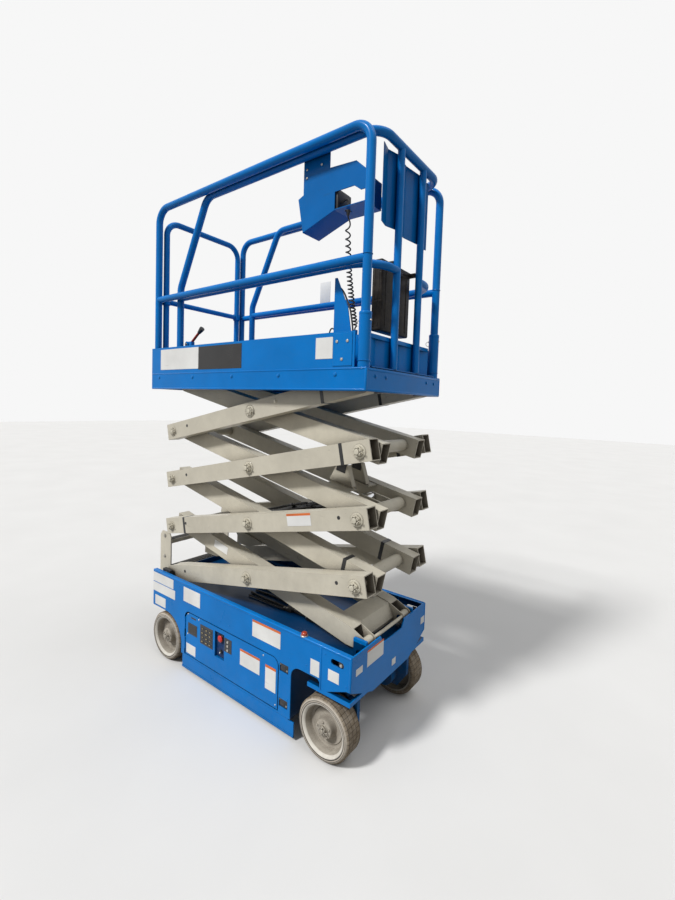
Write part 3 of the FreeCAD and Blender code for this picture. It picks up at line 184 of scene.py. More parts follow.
def weather_group():
    """Use and dust over a paint: mottling, thin scratches, chips, and dust that gathers low down."""
    group, given = new_group("weather", (
        ("Color", "Color", (0.5, 0.5, 0.5, 1)), ("Bare", "Color", (0.3, 0.3, 0.3, 1)),
        ("Dust", "Color", (0.35, 0.3, 0.24, 1)), ("Wear", "Float", 0.3), ("Dust Amount", "Float", 0.3),
        ("Dust Height", "Float", 0.5), ("Roughness", "Float", 0.4), ("Edge", "Float", 0.0)))
    place = object_place(group)
    broad = noise_node(group, place, 5, 7)
    tone = add_node(group, "ShaderNodeHueSaturation", {
        "Value": range_node(group, broad, 0.3, 0.7, 0.9, 1.08), "Color": given["Color"]})

    stretched = add_node(group, "ShaderNodeMapping", {
        "Vector": place, "Scale": (7, 90, 90), "Rotation": (0.4, 0.3, 0.2)})
    scratches = range_node(group, noise_node(group, stretched.outputs["Vector"], 1, 3), 0.69, 0.73)
    chips = range_node(group, noise_node(group, place, 55, 5), 0.70, 0.74)
    marks = math_node(group, "MULTIPLY", math_node(group, "MAXIMUM", scratches, chips), given["Wear"])
    rubbed = math_node(group, "MULTIPLY", given["Edge"], broad)
    worn = math_node(group, "MAXIMUM", marks, rubbed)
    bared = mix_node(group, worn, tone.outputs["Color"], given["Bare"])

    apart = add_node(group, "ShaderNodeSeparateXYZ", {0: place}).outputs
    low = math_node(group, "DIVIDE", apart["Z"], given["Dust Height"])
    fade = range_node(group, low, 0, 1, 1, 0.15)
    patches = range_node(group, noise_node(group, place, 22, 9, 0.7), 0.38, 0.75)
    dust = math_node(group, "MULTIPLY", math_node(group, "MULTIPLY", fade, patches), given["Dust Amount"])

    matt = math_node(group, "MULTIPLY_ADD", dust, 0.5, given["Roughness"])
    uneven = math_node(group, "MULTIPLY_ADD", broad, 0.16, matt)
    add_node(group, "NodeGroupOutput", {
        "Color": mix_node(group, dust, bared, given["Dust"]),
        "Roughness": math_node(group, "SUBTRACT", uneven, 0.08),
        "Height": math_node(group, "SUBTRACT", noise_node(group, place, 320), worn)})
    return group


weather = weather_group()
# Colour of the painted shade that ambient occlusion lays into corners and hollows.
PAINTED_SHADE = (0.16, 0.14, 0.13, 1)
EDGE_ROUNDING = 0.0025


def weathered(name, colour, bare, dust, wear, dust_amount, dust_height, roughness, bump, coat=0.0, metallic=0.0,
              corner_shade=0.72, reach=0.09):
    """A surface in use: its own colour, marks down to what is under it, dust, and painted shade in its corners and
    hollows.
    """
    material = plain_material(name, colour, roughness, metallic)
    tree = material.node_tree
    rounding = add_node(tree, "ShaderNodeBevel", {"Radius": EDGE_ROUNDING}, samples=4).outputs["Normal"]
    surface = add_node(tree, "ShaderNodeNewGeometry").outputs["Normal"]
    across = add_node(tree, "ShaderNodeVectorMath", {0: rounding, 1: surface}, operation="DOT_PRODUCT")
    used = add_node(tree, "ShaderNodeGroup", {
        "Color": (*colour, 1), "Bare": (*bare, 1), "Dust": (*dust, 1), "Wear": wear,
        "Dust Amount": dust_amount, "Dust Height": dust_height, "Roughness": roughness,
        "Edge": range_node(tree, across.outputs["Value"], 0.985, 0.85)}, node_tree=weather).outputs
    relief = add_node(tree, "ShaderNodeBump", {
        "Strength": bump, "Distance": 0.0006, "Normal": rounding, "Height": used["Height"]})
    # Painted shade: the colour darkens where ambient occlusion finds corners, creases and the insides of tubes.
    corner = add_node(tree, "ShaderNodeAmbientOcclusion", {"Distance": reach}, samples=4)
    shade_share = range_node(tree, corner.outputs["AO"], 0.20, 0.80, corner_shade, 0.0)
    set_sockets(tree, shader_of(material), {
        "Base Color": mix_node(tree, shade_share, used["Color"], PAINTED_SHADE, "MULTIPLY"),
        "Roughness": used["Roughness"], "Normal": relief.outputs["Normal"],
        "Coat Weight": coat, "Coat Roughness": 0.10, "Specular IOR Level": 0.10})
    return material


def laid_over(material, share, colour):
    """Lays another colour over a material's paint, by a share that changes over the surface."""
    paint = shader_of(material).inputs["Base Color"]
    covered = mix_node(material.node_tree, share, paint.links[0].from_socket, (*colour, 1))
    material.node_tree.links.new(covered, paint)


hub_low, hub_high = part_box("tyre_front_right")
WHEEL_X = (hub_low.x + hub_high.x) / 2
WHEEL_Z = (hub_low.z + hub_high.z) / 2
TREAD_Y = 0.378
TREAD_CUTS = 44.0
TREAD_PITCH = 0.028


def treaded(material, tread, groove):
    """Browner, darker rubber on the tread, which lies inside the tyre's two side walls, partly scuffs and dirt and
    partly painted shade, and dark cuts in it.
    """
    tree = material.node_tree
    place = object_place(tree)
    apart = add_node(tree, "ShaderNodeSeparateXYZ", {0: place}).outputs
    on_tread = range_node(tree, math_node(tree, "ABSOLUTE", apart["Y"]), TREAD_Y, TREAD_Y - 0.006)
    patches = range_node(tree, noise_node(tree, place, 34, 9, 0.7), 0.30, 0.62, 0.45)
    laid_over(material, math_node(tree, "MULTIPLY", on_tread, patches), tread)
    from_hub = math_node(tree, "SUBTRACT", math_node(tree, "ABSOLUTE", apart["X"]), WHEEL_X)
    over_hub = math_node(tree, "SUBTRACT", apart["Z"], WHEEL_Z)
    turned = math_node(tree, "ARCTAN2", over_hub, from_hub)
    waves = [math_node(tree, "COSINE", math_node(tree, "MULTIPLY", source, count))
             for source, count in ((turned, TREAD_CUTS), (apart["Y"], 2 * math.pi / TREAD_PITCH))]
    cuts = range_node(tree, math_node(tree, "MAXIMUM", *waves), 0.955, 0.99)
    laid_over(material, math_node(tree, "MULTIPLY", cuts, on_tread), groove)


def dress(name, material):
    """A carried-over node takes a finished material in every slot."""
    item = nodes[name]
    item.data.materials.clear()
    item.data.materials.append(material)


rubber = weathered("tyre_rubber", (0.60, 0.54, 0.455), (0.66, 0.62, 0.55), (0.22, 0.175, 0.125), 0.25, 0.55, 0.9,
                   0.75, 0.5, corner_shade=0.5)
# The tread colour is scuffed dirt, darkened further as painted shade.
treaded(rubber, (0.19, 0.145, 0.095), (0.045, 0.035, 0.026))
WHEELS = (
    ("rear_right", -0.607, -1, "wheel_rear_right"), ("rear_left", -0.607, 1, "wheel_rear_left"),
    ("front_right", 0.7125, -1, "wheel_front_right"), ("front_left", 0.7125, 1, "wheel_front_left"))
for wheel, wheel_x, side, body in WHEELS:
    dress(f"tyre_{wheel}", rubber)


# Rims: turned and welded steel in the machine's warm grey, with a bright lip and a black
# joint against the tyre. Each has a dish, a cap with five bolts, and a castle nut on its spindle.
def grain_group():
    """Fine grain of moulded and painted surfaces: a colour that drifts a little, a roughness and a height."""
    group, given = new_group("grain", (
        ("Color", "Color", (0.5, 0.5, 0.5, 1)), ("Scale", "Float", 200.0),
        ("Drift", "Float", 0.15), ("Roughness", "Float", 0.5)))
    place = object_place(group)
    shade = range_node(group, noise_node(group, place, 9, 6), 0.3, 0.7, -1, 1)
    drift = math_node(group, "MULTIPLY", shade, given["Drift"])
    tone = add_node(group, "ShaderNodeHueSaturation", {
        "Value": math_node(group, "ADD", drift, 1), "Color": given["Color"]})
    add_node(group, "NodeGroupOutput", {
        "Color": tone.outputs["Color"],
        "Roughness": math_node(group, "MULTIPLY_ADD", shade, 0.12, given["Roughness"]),
        "Height": noise_node(group, place, given["Scale"], 4)})
    return group


grain = grain_group()


def grained(name, colour, roughness, scale, drift, bump, metallic=0.0):
    """A surface of one colour with the fine grain over it."""
    material = plain_material(name, colour, roughness, metallic)
    tree = material.node_tree
    skin = add_node(tree, "ShaderNodeGroup", {
        "Color": (*colour, 1), "Scale": scale, "Drift": drift, "Roughness": roughness}, node_tree=grain).outputs
    relief = add_node(tree, "ShaderNodeBump", {"Strength": bump, "Distance": 0.001, "Height": skin["Height"]})
    set_sockets(tree, shader_of(material), {
        "Base Color": skin["Color"], "Roughness": skin["Roughness"], "Normal": relief.outputs["Normal"]})
    return material


rim_paint = weathered("rim_paint", (0.52, 0.475, 0.40), (0.24, 0.21, 0.17), (0.13, 0.10, 0.08), 0.35, 0.55, 0.6,
                      0.45, 0.4, corner_shade=0.95, reach=0.07)
hub_metal = weathered("hub_metal", (0.46, 0.42, 0.35), (0.62, 0.60, 0.56), (0.16, 0.13, 0.10), 0.6, 0.5, 0.6,
                      0.32, 0.4, metallic=0.4, corner_shade=0.98, reach=0.022)
rim_edge_paint = weathered("rim_edge_paint", (0.78, 0.74, 0.66), (0.45, 0.40, 0.33), (0.25, 0.21, 0.16), 0.35,
                           0.35, 0.5, 0.4, 0.3, corner_shade=0.3, reach=0.02)
bolt_steel = grained("bolt_steel", (0.42, 0.40, 0.36), 0.38, 500, 0.3, 0.2, 0.7)
black_steel = grained("black_steel", (0.02, 0.02, 0.021), 0.4, 300, 0.4, 0.15)


def only(item):
    """Selects one object alone and makes it active."""
    bpy.ops.object.select_all(action="DESELECT")
    item.select_set(True)
    bpy.context.view_layer.objects.active = item


def finish_mesh(item, width=0.0, segments=2):
    """Puts a piece's place into its mesh, rounds its sharp edges and shades it."""
    only(item)
    bpy.ops.object.transform_apply(location=True, rotation=True, scale=True)
    if width:
        edge = item.modifiers.new("edge", "BEVEL")
        edge.width = width
        edge.segments = segments
        edge.limit_method = "ANGLE"
        edge.angle_limit = math.radians(40)
        bpy.ops.object.modifier_apply(modifier="edge")
    bpy.ops.object.shade_smooth_by_angle(angle=math.radians(35))
    return item


def round_piece(start, end, radius, faces=24, width=0.0, segments=2, end_radius=None):
    """A round or faceted bar from one point to another."""
    start, end = Vector(start), Vector(end)
    bpy.ops.object.select_all(action="DESELECT")
    bpy.ops.mesh.primitive_cone_add(
        vertices=faces, radius1=radius, radius2=radius if end_radius is None else end_radius,
        depth=(end - start).length, location=(start + end) / 2,
        rotation=(end - start).to_track_quat("Z", "Y").to_euler())
    return finish_mesh(bpy.context.object, width, segments)


def stub(place, way, height, radius, faces=6, width=0.0008):
    """A short round or six-sided head that stands on a face."""
    return round_piece(place, Vector(place) + Vector(way) * height, radius, faces, width)


def flat_piece(corner, opposite, width=0.0, segments=2, rotation=(0, 0, 0)):
    """A block between two corners, turned about its middle, with its edges rounded."""
    low, high = Vector(map(min, corner, opposite)), Vector(map(max, corner, opposite))
    bpy.ops.object.select_all(action="DESELECT")
    bpy.ops.mesh.primitive_cube_add(size=1, location=(low + high) / 2, rotation=rotation, scale=high - low)
    return finish_mesh(bpy.context.object, width, segments)


def ring_piece(centre, axis, radius, thickness, faces=48):
    """A round ring of round wire about an axis."""
    bpy.ops.object.select_all(action="DESELECT")
    bpy.ops.mesh.primitive_torus_add(
        major_radius=radius, minor_radius=thickness, major_segments=faces, minor_segments=10,
        location=centre, rotation=Vector(axis).to_track_quat("Z", "Y").to_euler())
    return finish_mesh(bpy.context.object)


def lathe_piece(profile, centre, axis, steps=48):
    """A turned piece: profile points are a radius and a place along the axis."""
    mesh = bpy.data.meshes.new("turned")
    mesh.from_pydata([(radius, 0, along) for radius, along in profile],
                     [(index, index + 1) for index in range(len(profile) - 1)], [])
    item = bpy.data.objects.new("turned", mesh)
    bpy.context.scene.collection.objects.link(item)
    item.location = centre
    item.rotation_euler = Vector(axis).to_track_quat("Z", "Y").to_euler()
    only(item)
    turn = item.modifiers.new("turn", "SCREW")
    turn.steps = steps
    turn.render_steps = steps
    turn.use_merge_vertices = True
    turn.merge_threshold = 0.00002
    bpy.ops.object.modifier_apply(modifier="turn")
    bpy.ops.object.mode_set(mode="EDIT")
    bpy.ops.mesh.select_all(action="SELECT")
    bpy.ops.mesh.normals_make_consistent(inside=False)
    bpy.ops.object.mode_set(mode="OBJECT")
    return finish_mesh(item)


def gathered(name, items):
    """Joins loose pieces into one."""
    only(items[0])
    for item in items:
        item.select_set(True)
    if len(items) > 1:
        bpy.ops.object.join()
    item = bpy.context.object
    item.name = name
    item.data.name = name
    return item


def joined(name, items, body, material):
    """Joins pieces into one that rides on a body, with its material."""
    item = gathered(name, items)
    item.data.materials.clear()
    item.data.materials.append(material)
    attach(item, body)
    return item


def castle_nut(radius, low, crown, high, stud):
    """A slotted nut on its threaded stud, with a split pin through it, facing along +Y from the origin."""
    pin_y = crown + 0.002
    pieces = [round_piece((0, low, 0), (0, crown, 0), radius, 6, 0.0012),
              round_piece((0, low, 0), (0, stud, 0), 0.52 * radius, 24, 0.001),
              round_piece((-1.12 * radius, pin_y, 0), (1.12 * radius, pin_y, 0), 0.0019, 10, 0.0004),
              ring_piece((-1.28 * radius, pin_y, 0), (0, 1, 0), 0.0042, 0.0016, 16)]
    top = high - 0.001
    half = Vector((0.27 * radius, high - crown + 0.001, 0.52 * radius)) / 2
    for index in range(6):
        angle = math.radians(60 * index + 30)
        middle = Vector((0.70 * radius * math.cos(angle), (crown + top) / 2, -0.70 * radius * math.sin(angle)))
        pieces.append(flat_piece(middle - half, middle + half, 0.0008, 1, (0, angle, 0)))
    return pieces


def copied(pattern, place, side):
    """A copy of a pattern at a place on the machine's right (-1) or left (1) side, with its own mesh."""
    twin = pattern.copy()
    twin.data = pattern.data.copy()
    turn = Matrix.Rotation(0 if side > 0 else math.pi, 4, "Z")
    twin.data.transform(Matrix.Translation(place) @ turn)
    bpy.context.scene.collection.objects.link(twin)
    return twin


HUB, OUTWARD = (0, 0, 0), (0, 1, 0)
WHEEL_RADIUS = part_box("tyre_rear_right")[1].z / 2
CAP_BOLT_RING = 0.0365
cap_bolts = [(CAP_BOLT_RING * math.cos(turn), 0.3685, CAP_BOLT_RING * math.sin(turn))
             for turn in [math.radians(72 * index + 15) for index in range(5)]]
rim_patterns = {
    "tyre_joint": (black_steel, "tyre", gathered("joint_pattern", [
        ring_piece((0, 0.3797, 0), OUTWARD, 0.1288, 0.0013, 96),
        ring_piece((0, 0.3792, 0), OUTWARD, 0.1372, 0.0016, 96)])),
    "rim_dish": (rim_paint, "rim", gathered("dish_pattern", [
        lathe_piece([(0.1122, 0.3685), (0.1105, 0.3640), (0.1068, 0.3420), (0.1030, 0.3330), (0.0965, 0.3306),
                     (0.0885, 0.3304), (0.0860, 0.3330), (0.0825, 0.3335), (0.0790, 0.3310), (0.0640, 0.3306),
                     (0.0560, 0.3330), (0.0505, 0.3400), (0.0475, 0.3520), (0.0455, 0.3625)], HUB, OUTWARD, 72),
        lathe_piece([(0.0, 0.3690), (0.0380, 0.3690), (0.0435, 0.3672), (0.0456, 0.3625)], HUB, OUTWARD),
        *[stub(place, OUTWARD, 0.0045, 0.0050, 6, 0.0006) for place in cap_bolts]])),
    "rim_edge": (rim_edge_paint, "rim", gathered("edge_pattern", [
        lathe_piece([(0.1266, 0.3784), (0.1252, 0.3797), (0.1222, 0.3790), (0.1175, 0.3745), (0.1135, 0.3705),
                     (0.1118, 0.3670), (0.1112, 0.3600)], HUB, OUTWARD, 96)])),
    "hub_nut": (hub_metal, "rim", gathered("hub_pattern", [
        stub((0, 0.3688, 0), OUTWARD, 0.0020, 0.0285, 36, 0.0008),
        *castle_nut(0.0225, 0.3705, 0.3785, 0.3850, 0.3868)]))}
for wheel, wheel_x, side, body in WHEELS:
    dress(f"rim_{wheel}", rim_paint)
    for name, (material, slot, pattern) in rim_patterns.items():
        joined(f"{name}_{wheel}", [copied(pattern, Vector((wheel_x, 0, WHEEL_RADIUS)), side)], body, material)
for material, slot, pattern in rim_patterns.values():
    bpy.data.objects.remove(pattern)


# Axle, steer yokes and tie rod: welded steel under the machine, in its blue but dulled
# by road dirt.
BLUE = (0.0, 0.195, 0.61)
BLUE_BARE = (0.02, 0.16, 0.38)
FLOOR_DUST = (0.30, 0.25, 0.19)
blue_paint = weathered("blue_paint", BLUE, BLUE_BARE, FLOOR_DUST, 0.30, 0.09, 0.35, 0.30, 0.22, coat=0.08)
blue_dirty = weathered("blue_dirty", (0.0, 0.10, 0.30), (0.08, 0.09, 0.1), (0.14, 0.115, 0.09), 0.5, 0.75, 0.8,
                       0.5, 0.4)
for name in ("rear_axle", "steer_yoke_left", "steer_yoke_right", "tie_rod"):
    dress(name, blue_dirty)


# Chassis: folded and welded plate, painted azure all over, with painted shade and some oil and dirt inside its trough.
# Doors and pothole guards are the same plate, and batteries and power unit are black blocks.
def shade_and_dirt_inside(material, half_width, front, top, shade):
    """Darkens the paint inside the box that the chassis' outer walls enclose, as painted shade with some dirt."""
    tree = material.node_tree
    apart = add_node(tree, "ShaderNodeSeparateXYZ", {0: object_place(tree)}).outputs
    tests = [math_node(tree, "LESS_THAN", place, limit) for place, limit in (
        (math_node(tree, "ABSOLUTE", apart["Y"]), half_width), (apart["X"], front), (apart["Z"], top))]
    inside = math_node(tree, "MULTIPLY", math_node(tree, "MULTIPLY", tests[0], tests[1]), tests[2])
    laid_over(material, math_node(tree, "MULTIPLY", inside, 0.85), shade)


chassis_paint = weathered("chassis_paint", BLUE, BLUE_BARE, FLOOR_DUST, 0.30, 0.10, 0.35, 0.30, 0.22, coat=0.08)
# Painted shade, with some dirt: the inside of the trough is laid over in a dark blue.
shade_and_dirt_inside(chassis_paint, 0.3695, 0.8600, 0.5585, (0.0, 0.014, 0.050))
dress("chassis_frame", chassis_paint)
for name in ("door_left", "door_right", "pothole_guard_left", "pothole_guard_right"):
    dress(name, blue_paint)
black_plastic = grained("black_plastic", (0.018, 0.018, 0.02), 0.45, 420, 0.35, 0.12)
for name in ("battery_pack", "power_unit", "lower_slide_blocks", "upper_slide_blocks"):
    dress(name, black_plastic)

# Labels: thin blank film on the side skins, the right door and the front panel, some headed
# by an orange band. Each row of a table is two ranges in millimetres along the face.
blank_film = weathered("blank_label", (0.88, 0.875, 0.85), (0.60, 0.60, 0.58), FLOOR_DUST, 0.4, 0.12, 1.0, 0.45,
                       0.1, corner_shade=0.2)
orange_stripe = grained("orange_stripe", (0.72, 0.16, 0.03), 0.45, 300, 0.2, 0.05)
MILLIMETRE = 1000
DOOR_FACE = -0.374
PANEL_FACE = 0.865
LABEL = 0.0008
STRIPE = LABEL + 0.0002
SUNK = 0.0003


def side_plates(name, rows, thickness, body, material, face=DOOR_FACE, width=0.0002):
    """Thin plates on a side face, right below zero and left above, one for each row of x and z ranges."""
    outward = math.copysign(1, face)
    joined(name, [flat_piece(
        (x_low / MILLIMETRE, face + outward * thickness, z_low / MILLIMETRE),
        (x_high / MILLIMETRE, face - outward * SUNK, z_high / MILLIMETRE), width, 1)
        for x_low, x_high, z_low, z_high in rows], body, material)


def front_plates(name, rows, thickness, body, material):
    """Thin plates on the front panel, one for each row of y and z ranges."""
    joined(name, [flat_piece(
        (PANEL_FACE - SUNK, y_low / MILLIMETRE, z_low / MILLIMETRE),
        (PANEL_FACE + thickness, y_high / MILLIMETRE, z_high / MILLIMETRE), 0.0002, 1)
        for y_low, y_high, z_low, z_high in rows], body, material)


REAR_SKIN_LABELS = ((-764, -533, 484, 545), (-764, -513, 419, 479))
SKIN_LABELS = (
    (-741, -619, 332, 395), (-421, -252, 445, 536), (212, 423, 441, 533), (626, 682, 398, 475),
    (735, 799, 412, 466))
side_plates("skin_labels", REAR_SKIN_LABELS + SKIN_LABELS, LABEL, "chassis", blank_film)
side_plates("left_labels", SKIN_LABELS, LABEL, "chassis", blank_film, face=-DOOR_FACE)
side_plates("skin_label_stripes", ((212, 423, 521, 533),), STRIPE, "chassis", orange_stripe)
side_plates("door_labels", ((117, 275, 244, 335), (318, 396, 195, 325), (-384, -290, 128, 190)), LABEL,
            "door_right", blank_film)
side_plates("door_label_stripes", ((117, 275, 323, 335), (318, 396, 311, 325)), STRIPE, "door_right",
            orange_stripe)
front_plates("front_labels", ((-241, -93, 459, 540), (-334, -279, 458, 491), (322, 368, 448, 488),
                              (-1, 38, 353, 388)), LABEL, "chassis", blank_film)
front_plates("front_label_stripes", ((-241, -93, 531, 540),), STRIPE, "chassis", orange_stripe)

# Ground controls in the right door: a display, a pad of twelve keys, a panel of three key
# switches, and a sunk box with the red stop button, its collar and a toggle switch.
dark_panel = grained("dark_panel", (0.022, 0.024, 0.028), 0.3, 250, 0.4, 0.06)
gloss_black = grained("gloss_black", (0.012, 0.011, 0.011), 0.18, 60, 0.3, 0.03)
key_mark = grained("key_mark", (0.42, 0.33, 0.16), 0.4, 400, 0.3, 0.06)
button_red = grained("button_red", (0.62, 0.02, 0.012), 0.3, 200, 0.15, 0.03)
# Dark blue paint for the lining of the sunk stop box: painted shade at its back.
sunk_box_shade = weathered("sunk_box_shade", (0.0, 0.035, 0.14), (0.03, 0.05, 0.09), FLOOR_DUST, 0.4, 0.35, 0.8, 0.5, 0.3)
side_plates("control_frames", ((-368, -277, 256, 325), (-245, -124, 237, 354), (-18, 45, 270, 350)), 0.002,
            "door_right", dark_panel, width=0.001)
side_plates("display_window", ((-359, -286, 265, 316),), 0.0028, "door_right", gloss_black,
            width=0.001)
KEY_X, KEY_Z, KEY_COLUMN, KEY_ROW = -234, 245, 36, 26
keys, marks = [], []
for row in range(4):
    for column in range(3):
        left, low = KEY_X + column * KEY_COLUMN, KEY_Z + row * KEY_ROW
        keys.append((left, left + 27, low, low + 17))
        marks.append((left + 5 + 4 * (row % 2), left + 15 + 4 * (column % 2), low + 6, low + 12))
side_plates("key_pads", keys, 0.0034, "door_right", gloss_black, width=0.0012)
side_plates("key_marks", marks, 0.0037, "door_right", key_mark)
RIGHT = Vector((0, -1, 0))
joined("key_panel_switches", [
    stub((0.0135, DOOR_FACE - 0.0015, 0.285 + row * 0.024), RIGHT, 0.005, 0.0075, 20, 0.0012)
    for row in range(3)], "door_right", bolt_steel)

STOP_BACK = -0.359
stop_centre = Vector((-0.0610, STOP_BACK, 0.3240))
toggle_foot = Vector((-0.061, STOP_BACK, 0.245))
# The lining is painted shade at the back of the sunk box.
joined("stop_box_lining", [flat_piece(
    (-0.1058, STOP_BACK - 0.0006, 0.2082), (-0.0212, STOP_BACK + 0.0002, 0.3598), 0.0002, 1)],
    "door_right", sunk_box_shade)
joined("stop_collar", [
    lathe_piece([(0.0, 0.006), (0.020, 0.006), (0.0215, 0.004), (0.0215, 0.0)], stop_centre, RIGHT),
    stub(toggle_foot, RIGHT, 0.009, 0.011, 6, 0.001)], "door_right", black_steel)
joined("stop_button", [
    lathe_piece([(0.0, 0.0185), (0.010, 0.0182), (0.0165, 0.0165), (0.0195, 0.0135), (0.0195, 0.0105),
                 (0.012, 0.0095), (0.009, 0.005)], stop_centre, RIGHT)], "door_right", button_red)
joined("stop_toggle", [
    round_piece(toggle_foot + RIGHT * 0.008, (-0.061, STOP_BACK - 0.016, 0.238), 0.0035, 12, 0.001)],
    "door_right", bolt_steel)
# The slot is drawn as a thin black plate: painted shade inside it.
side_plates("door_slot", ((-339, -290, 357, 367),), 0.0004, "door_right", black_steel)


# Fasteners of the side skins: domed screws, bare on the door and painted on the skin, and in
# each front tie-down eye a black lug with a bright bolt.
def screws(places):
    """Low domed screw heads on the right side's face, at x and z places."""
    return [lathe_piece([(0.0, 0.0022), (0.0030, 0.0019), (0.0046, 0.0)], (x, DOOR_FACE, z), RIGHT, 20)
            for x, z in places]


joined("door_screws", screws((
    (-0.370, 0.376), (-0.262, 0.372), (-0.372, 0.250), (0.300, 0.365), (0.395, 0.135), (-0.375, 0.135))),
    "door_right", bolt_steel)
joined("skin_screws", screws((
    (-0.47, 0.52), (-0.06, 0.43), (0.02, 0.43), (0.48, 0.20), (0.49, 0.42), (0.60, 0.43), (0.715, 0.53),
    (0.84, 0.42))), "chassis", blue_paint)
SIDES = ((-1, Vector((0, -1, 0))), (1, Vector((0, 1, 0))))
lugs, bolts = [], []
for side, outward in SIDES:
    lugs.append(flat_piece((0.7900, side * 0.3662, 0.4860), (0.8420, side * 0.3620, 0.5190), 0.0008))
    bolt_foot = (0.8040, side * 0.3640, 0.5020)
    bolts += [stub(bolt_foot, outward, 0.0065, 0.0088, 6, 0.0012), stub(bolt_foot, outward, 0.0085, 0.0045, 16)]
joined("tie_down_lugs", lugs, "chassis", black_steel)
joined("tie_down_bolts", bolts, "chassis", bolt_steel)

# Door latches: two pressed black trays beside each door, each with a paddle, a round lock
# and a rivet.
LATCH_FACE = 0.3712
latches, locks = [], []
for latch_z in (0.353, 0.167):
    for side, outward in SIDES:
        face = side * LATCH_FACE
        sunk = face - side * 0.003
        latches.append(flat_piece((0.4225, face, latch_z - 0.0205), (0.4815, face - side * 0.006, latch_z + 0.0205),
                                  0.0008))
        latches.append(flat_piece((0.430, face - side * 0.004, latch_z - 0.012),
                                  (0.462, face + side * 0.0010, latch_z + 0.012), 0.002, 3))
        locks.append(stub((0.472, sunk, latch_z - 0.008), outward, 0.005, 0.0048, 20, 0.001))
        locks.append(stub((0.4255, sunk, latch_z + 0.013), outward, 0.004, 0.003, 16, 0.001))
joined("door_latches", latches, "chassis", black_steel)
joined("latch_locks", locks, "chassis", bolt_steel)

# Rolled edges of the chassis plate: along the top of the side skins, down the front corners,
# and the soft fold in each skin behind the front wheel.
EDGE_Y, TOP_EDGE_Z = 0.3693, 0.5553
FRONT_EDGE_X, FOLD_X = 0.8603, 0.690
edges = []
for side, outward in SIDES:
    y, fold_y = side * EDGE_Y, side * 0.3715
    edges.append(round_piece((-0.763, y, TOP_EDGE_Z), (0.863, y, TOP_EDGE_Z), 0.0072, 24, 0.002))
    edges.append(round_piece((FRONT_EDGE_X, y, 0.400), (FRONT_EDGE_X, y, 0.5585), 0.0072, 24, 0.002))
    edges.append(round_piece((FOLD_X, fold_y, 0.345), (FOLD_X, fold_y, 0.556), 0.0062, 20, 0.002))
joined("skin_edges", edges, "chassis", blue_paint)


# Hydraulic hoses: black rubber lying low in the trough, with steel fittings and two flat
# manifolds, clear of the folded arms. The tables are x and y places.
def tube_piece(points, radius):
    """A fixed hose or bent bar along given points, as a mesh tube."""
    route = bpy.data.curves.new("tube", "CURVE")
    route.dimensions = "3D"
    route.bevel_depth = radius
    route.bevel_resolution = 4
    route.use_fill_caps = True
    route.resolution_u = 8
    line = route.splines.new("NURBS")
    line.points.add(len(points) - 1)
    for point, place in zip(line.points, points):
        point.co = (*place, 1)
    line.order_u = min(4, len(points))
    line.use_endpoint_u = True
    item = bpy.data.objects.new("tube", route)
    bpy.context.scene.collection.objects.link(item)
    only(item)
    bpy.ops.object.convert(target="MESH")
    return finish_mesh(bpy.context.object)


hose_rubber = grained("hose_rubber", (0.014, 0.014, 0.015), 0.38, 700, 0.3, 0.2)
HOSE_Z = 0.4915
hoses = [tube_piece([(x, y, HOSE_Z) for x, y in way], radius) for radius, way in (
    (0.0062, ((0.46, -0.115), (0.40, -0.085), (0.33, -0.115), (0.24, -0.085), (0.12, -0.10), (-0.12, -0.085))),
    (0.0062, ((0.46, -0.06), (0.37, -0.045), (0.30, -0.075), (0.18, -0.05), (0.05, -0.03), (-0.12, -0.045))),
    (0.0055, ((0.44, 0.02), (0.34, 0.0), (0.22, 0.03), (0.05, 0.02), (-0.14, 0.0))),
    (0.0050, ((0.20, -0.122), (0.10, -0.122), (0.0, -0.118), (-0.10, -0.122))))]
manifolds = [
    flat_piece((0.195, -0.118, 0.4838), (0.255, -0.070, 0.4985), 0.002),
    flat_piece((0.375, -0.124, 0.4838), (0.425, -0.078, 0.4985), 0.002)]
joined("trough_hoses", hoses + manifolds, "chassis", hose_rubber)
fittings = [round_piece((x - 0.007, y, HOSE_Z), (x + 0.007, y, HOSE_Z), 0.0078, 6, 0.0012) for x, y in (
    (0.190, -0.100), (0.262, -0.092), (0.368, -0.108), (0.432, -0.098), (0.372, -0.052), (0.30, -0.072))]
plugs = [stub((x, y, 0.4980), (0, 0, 1), 0.0018, 0.0075, 6, 0.0006) for x, y in (
    (0.212, -0.106), (0.238, -0.082), (0.390, -0.112), (0.410, -0.090))]
joined("trough_fittings", fittings + plugs, "chassis", bolt_steel)


# Entry ladder: warm grey side plates with chamfered heads, dark gritty strips on the treads,
# and three bolts on their washers through each side.
def washered(place, way, washer, head):
    """A bolt on its washer, each a height, a radius, a number of faces and an edge."""
    return [stub(place, way, *washer), stub(place, way, *head)]


arm_paint = weathered("arm_paint", (0.66, 0.615, 0.505), (0.33, 0.28, 0.22), (0.34, 0.30, 0.24), 0.35, 0.24, 3.5,
                      0.40, 0.3, coat=0.12, corner_shade=0.97, reach=0.11)
grit = grained("grit", (0.035, 0.033, 0.03), 0.9, 900, 0.5, 1.0)
dress("entry_ladder", arm_paint)
ladder_low, ladder_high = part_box("entry_ladder")
joined("tread_grit", [flat_piece(
    (ladder_low.x + 0.004, ladder_low.y + 0.012, tread_top - SUNK),
    (ladder_low.x + 0.061, ladder_high.y - 0.012, tread_top + 0.0012), 0.0004, 1)
    for tread_top in (0.311, 0.5035, 0.706)], "chassis", grit)
ladder_bolts = []
for side, outward in SIDES:
    for bolt_x, bolt_z in ((-0.835, 0.600), (-0.795, 0.440), (-0.835, 0.745)):
        ladder_bolts += washered(
            (bolt_x, side * 0.250, bolt_z), outward, (0.0015, 0.014, 24, 0.0006), (0.007, 0.0095, 6, 0.001))
joined("ladder_bolts", ladder_bolts, "chassis", bolt_steel)

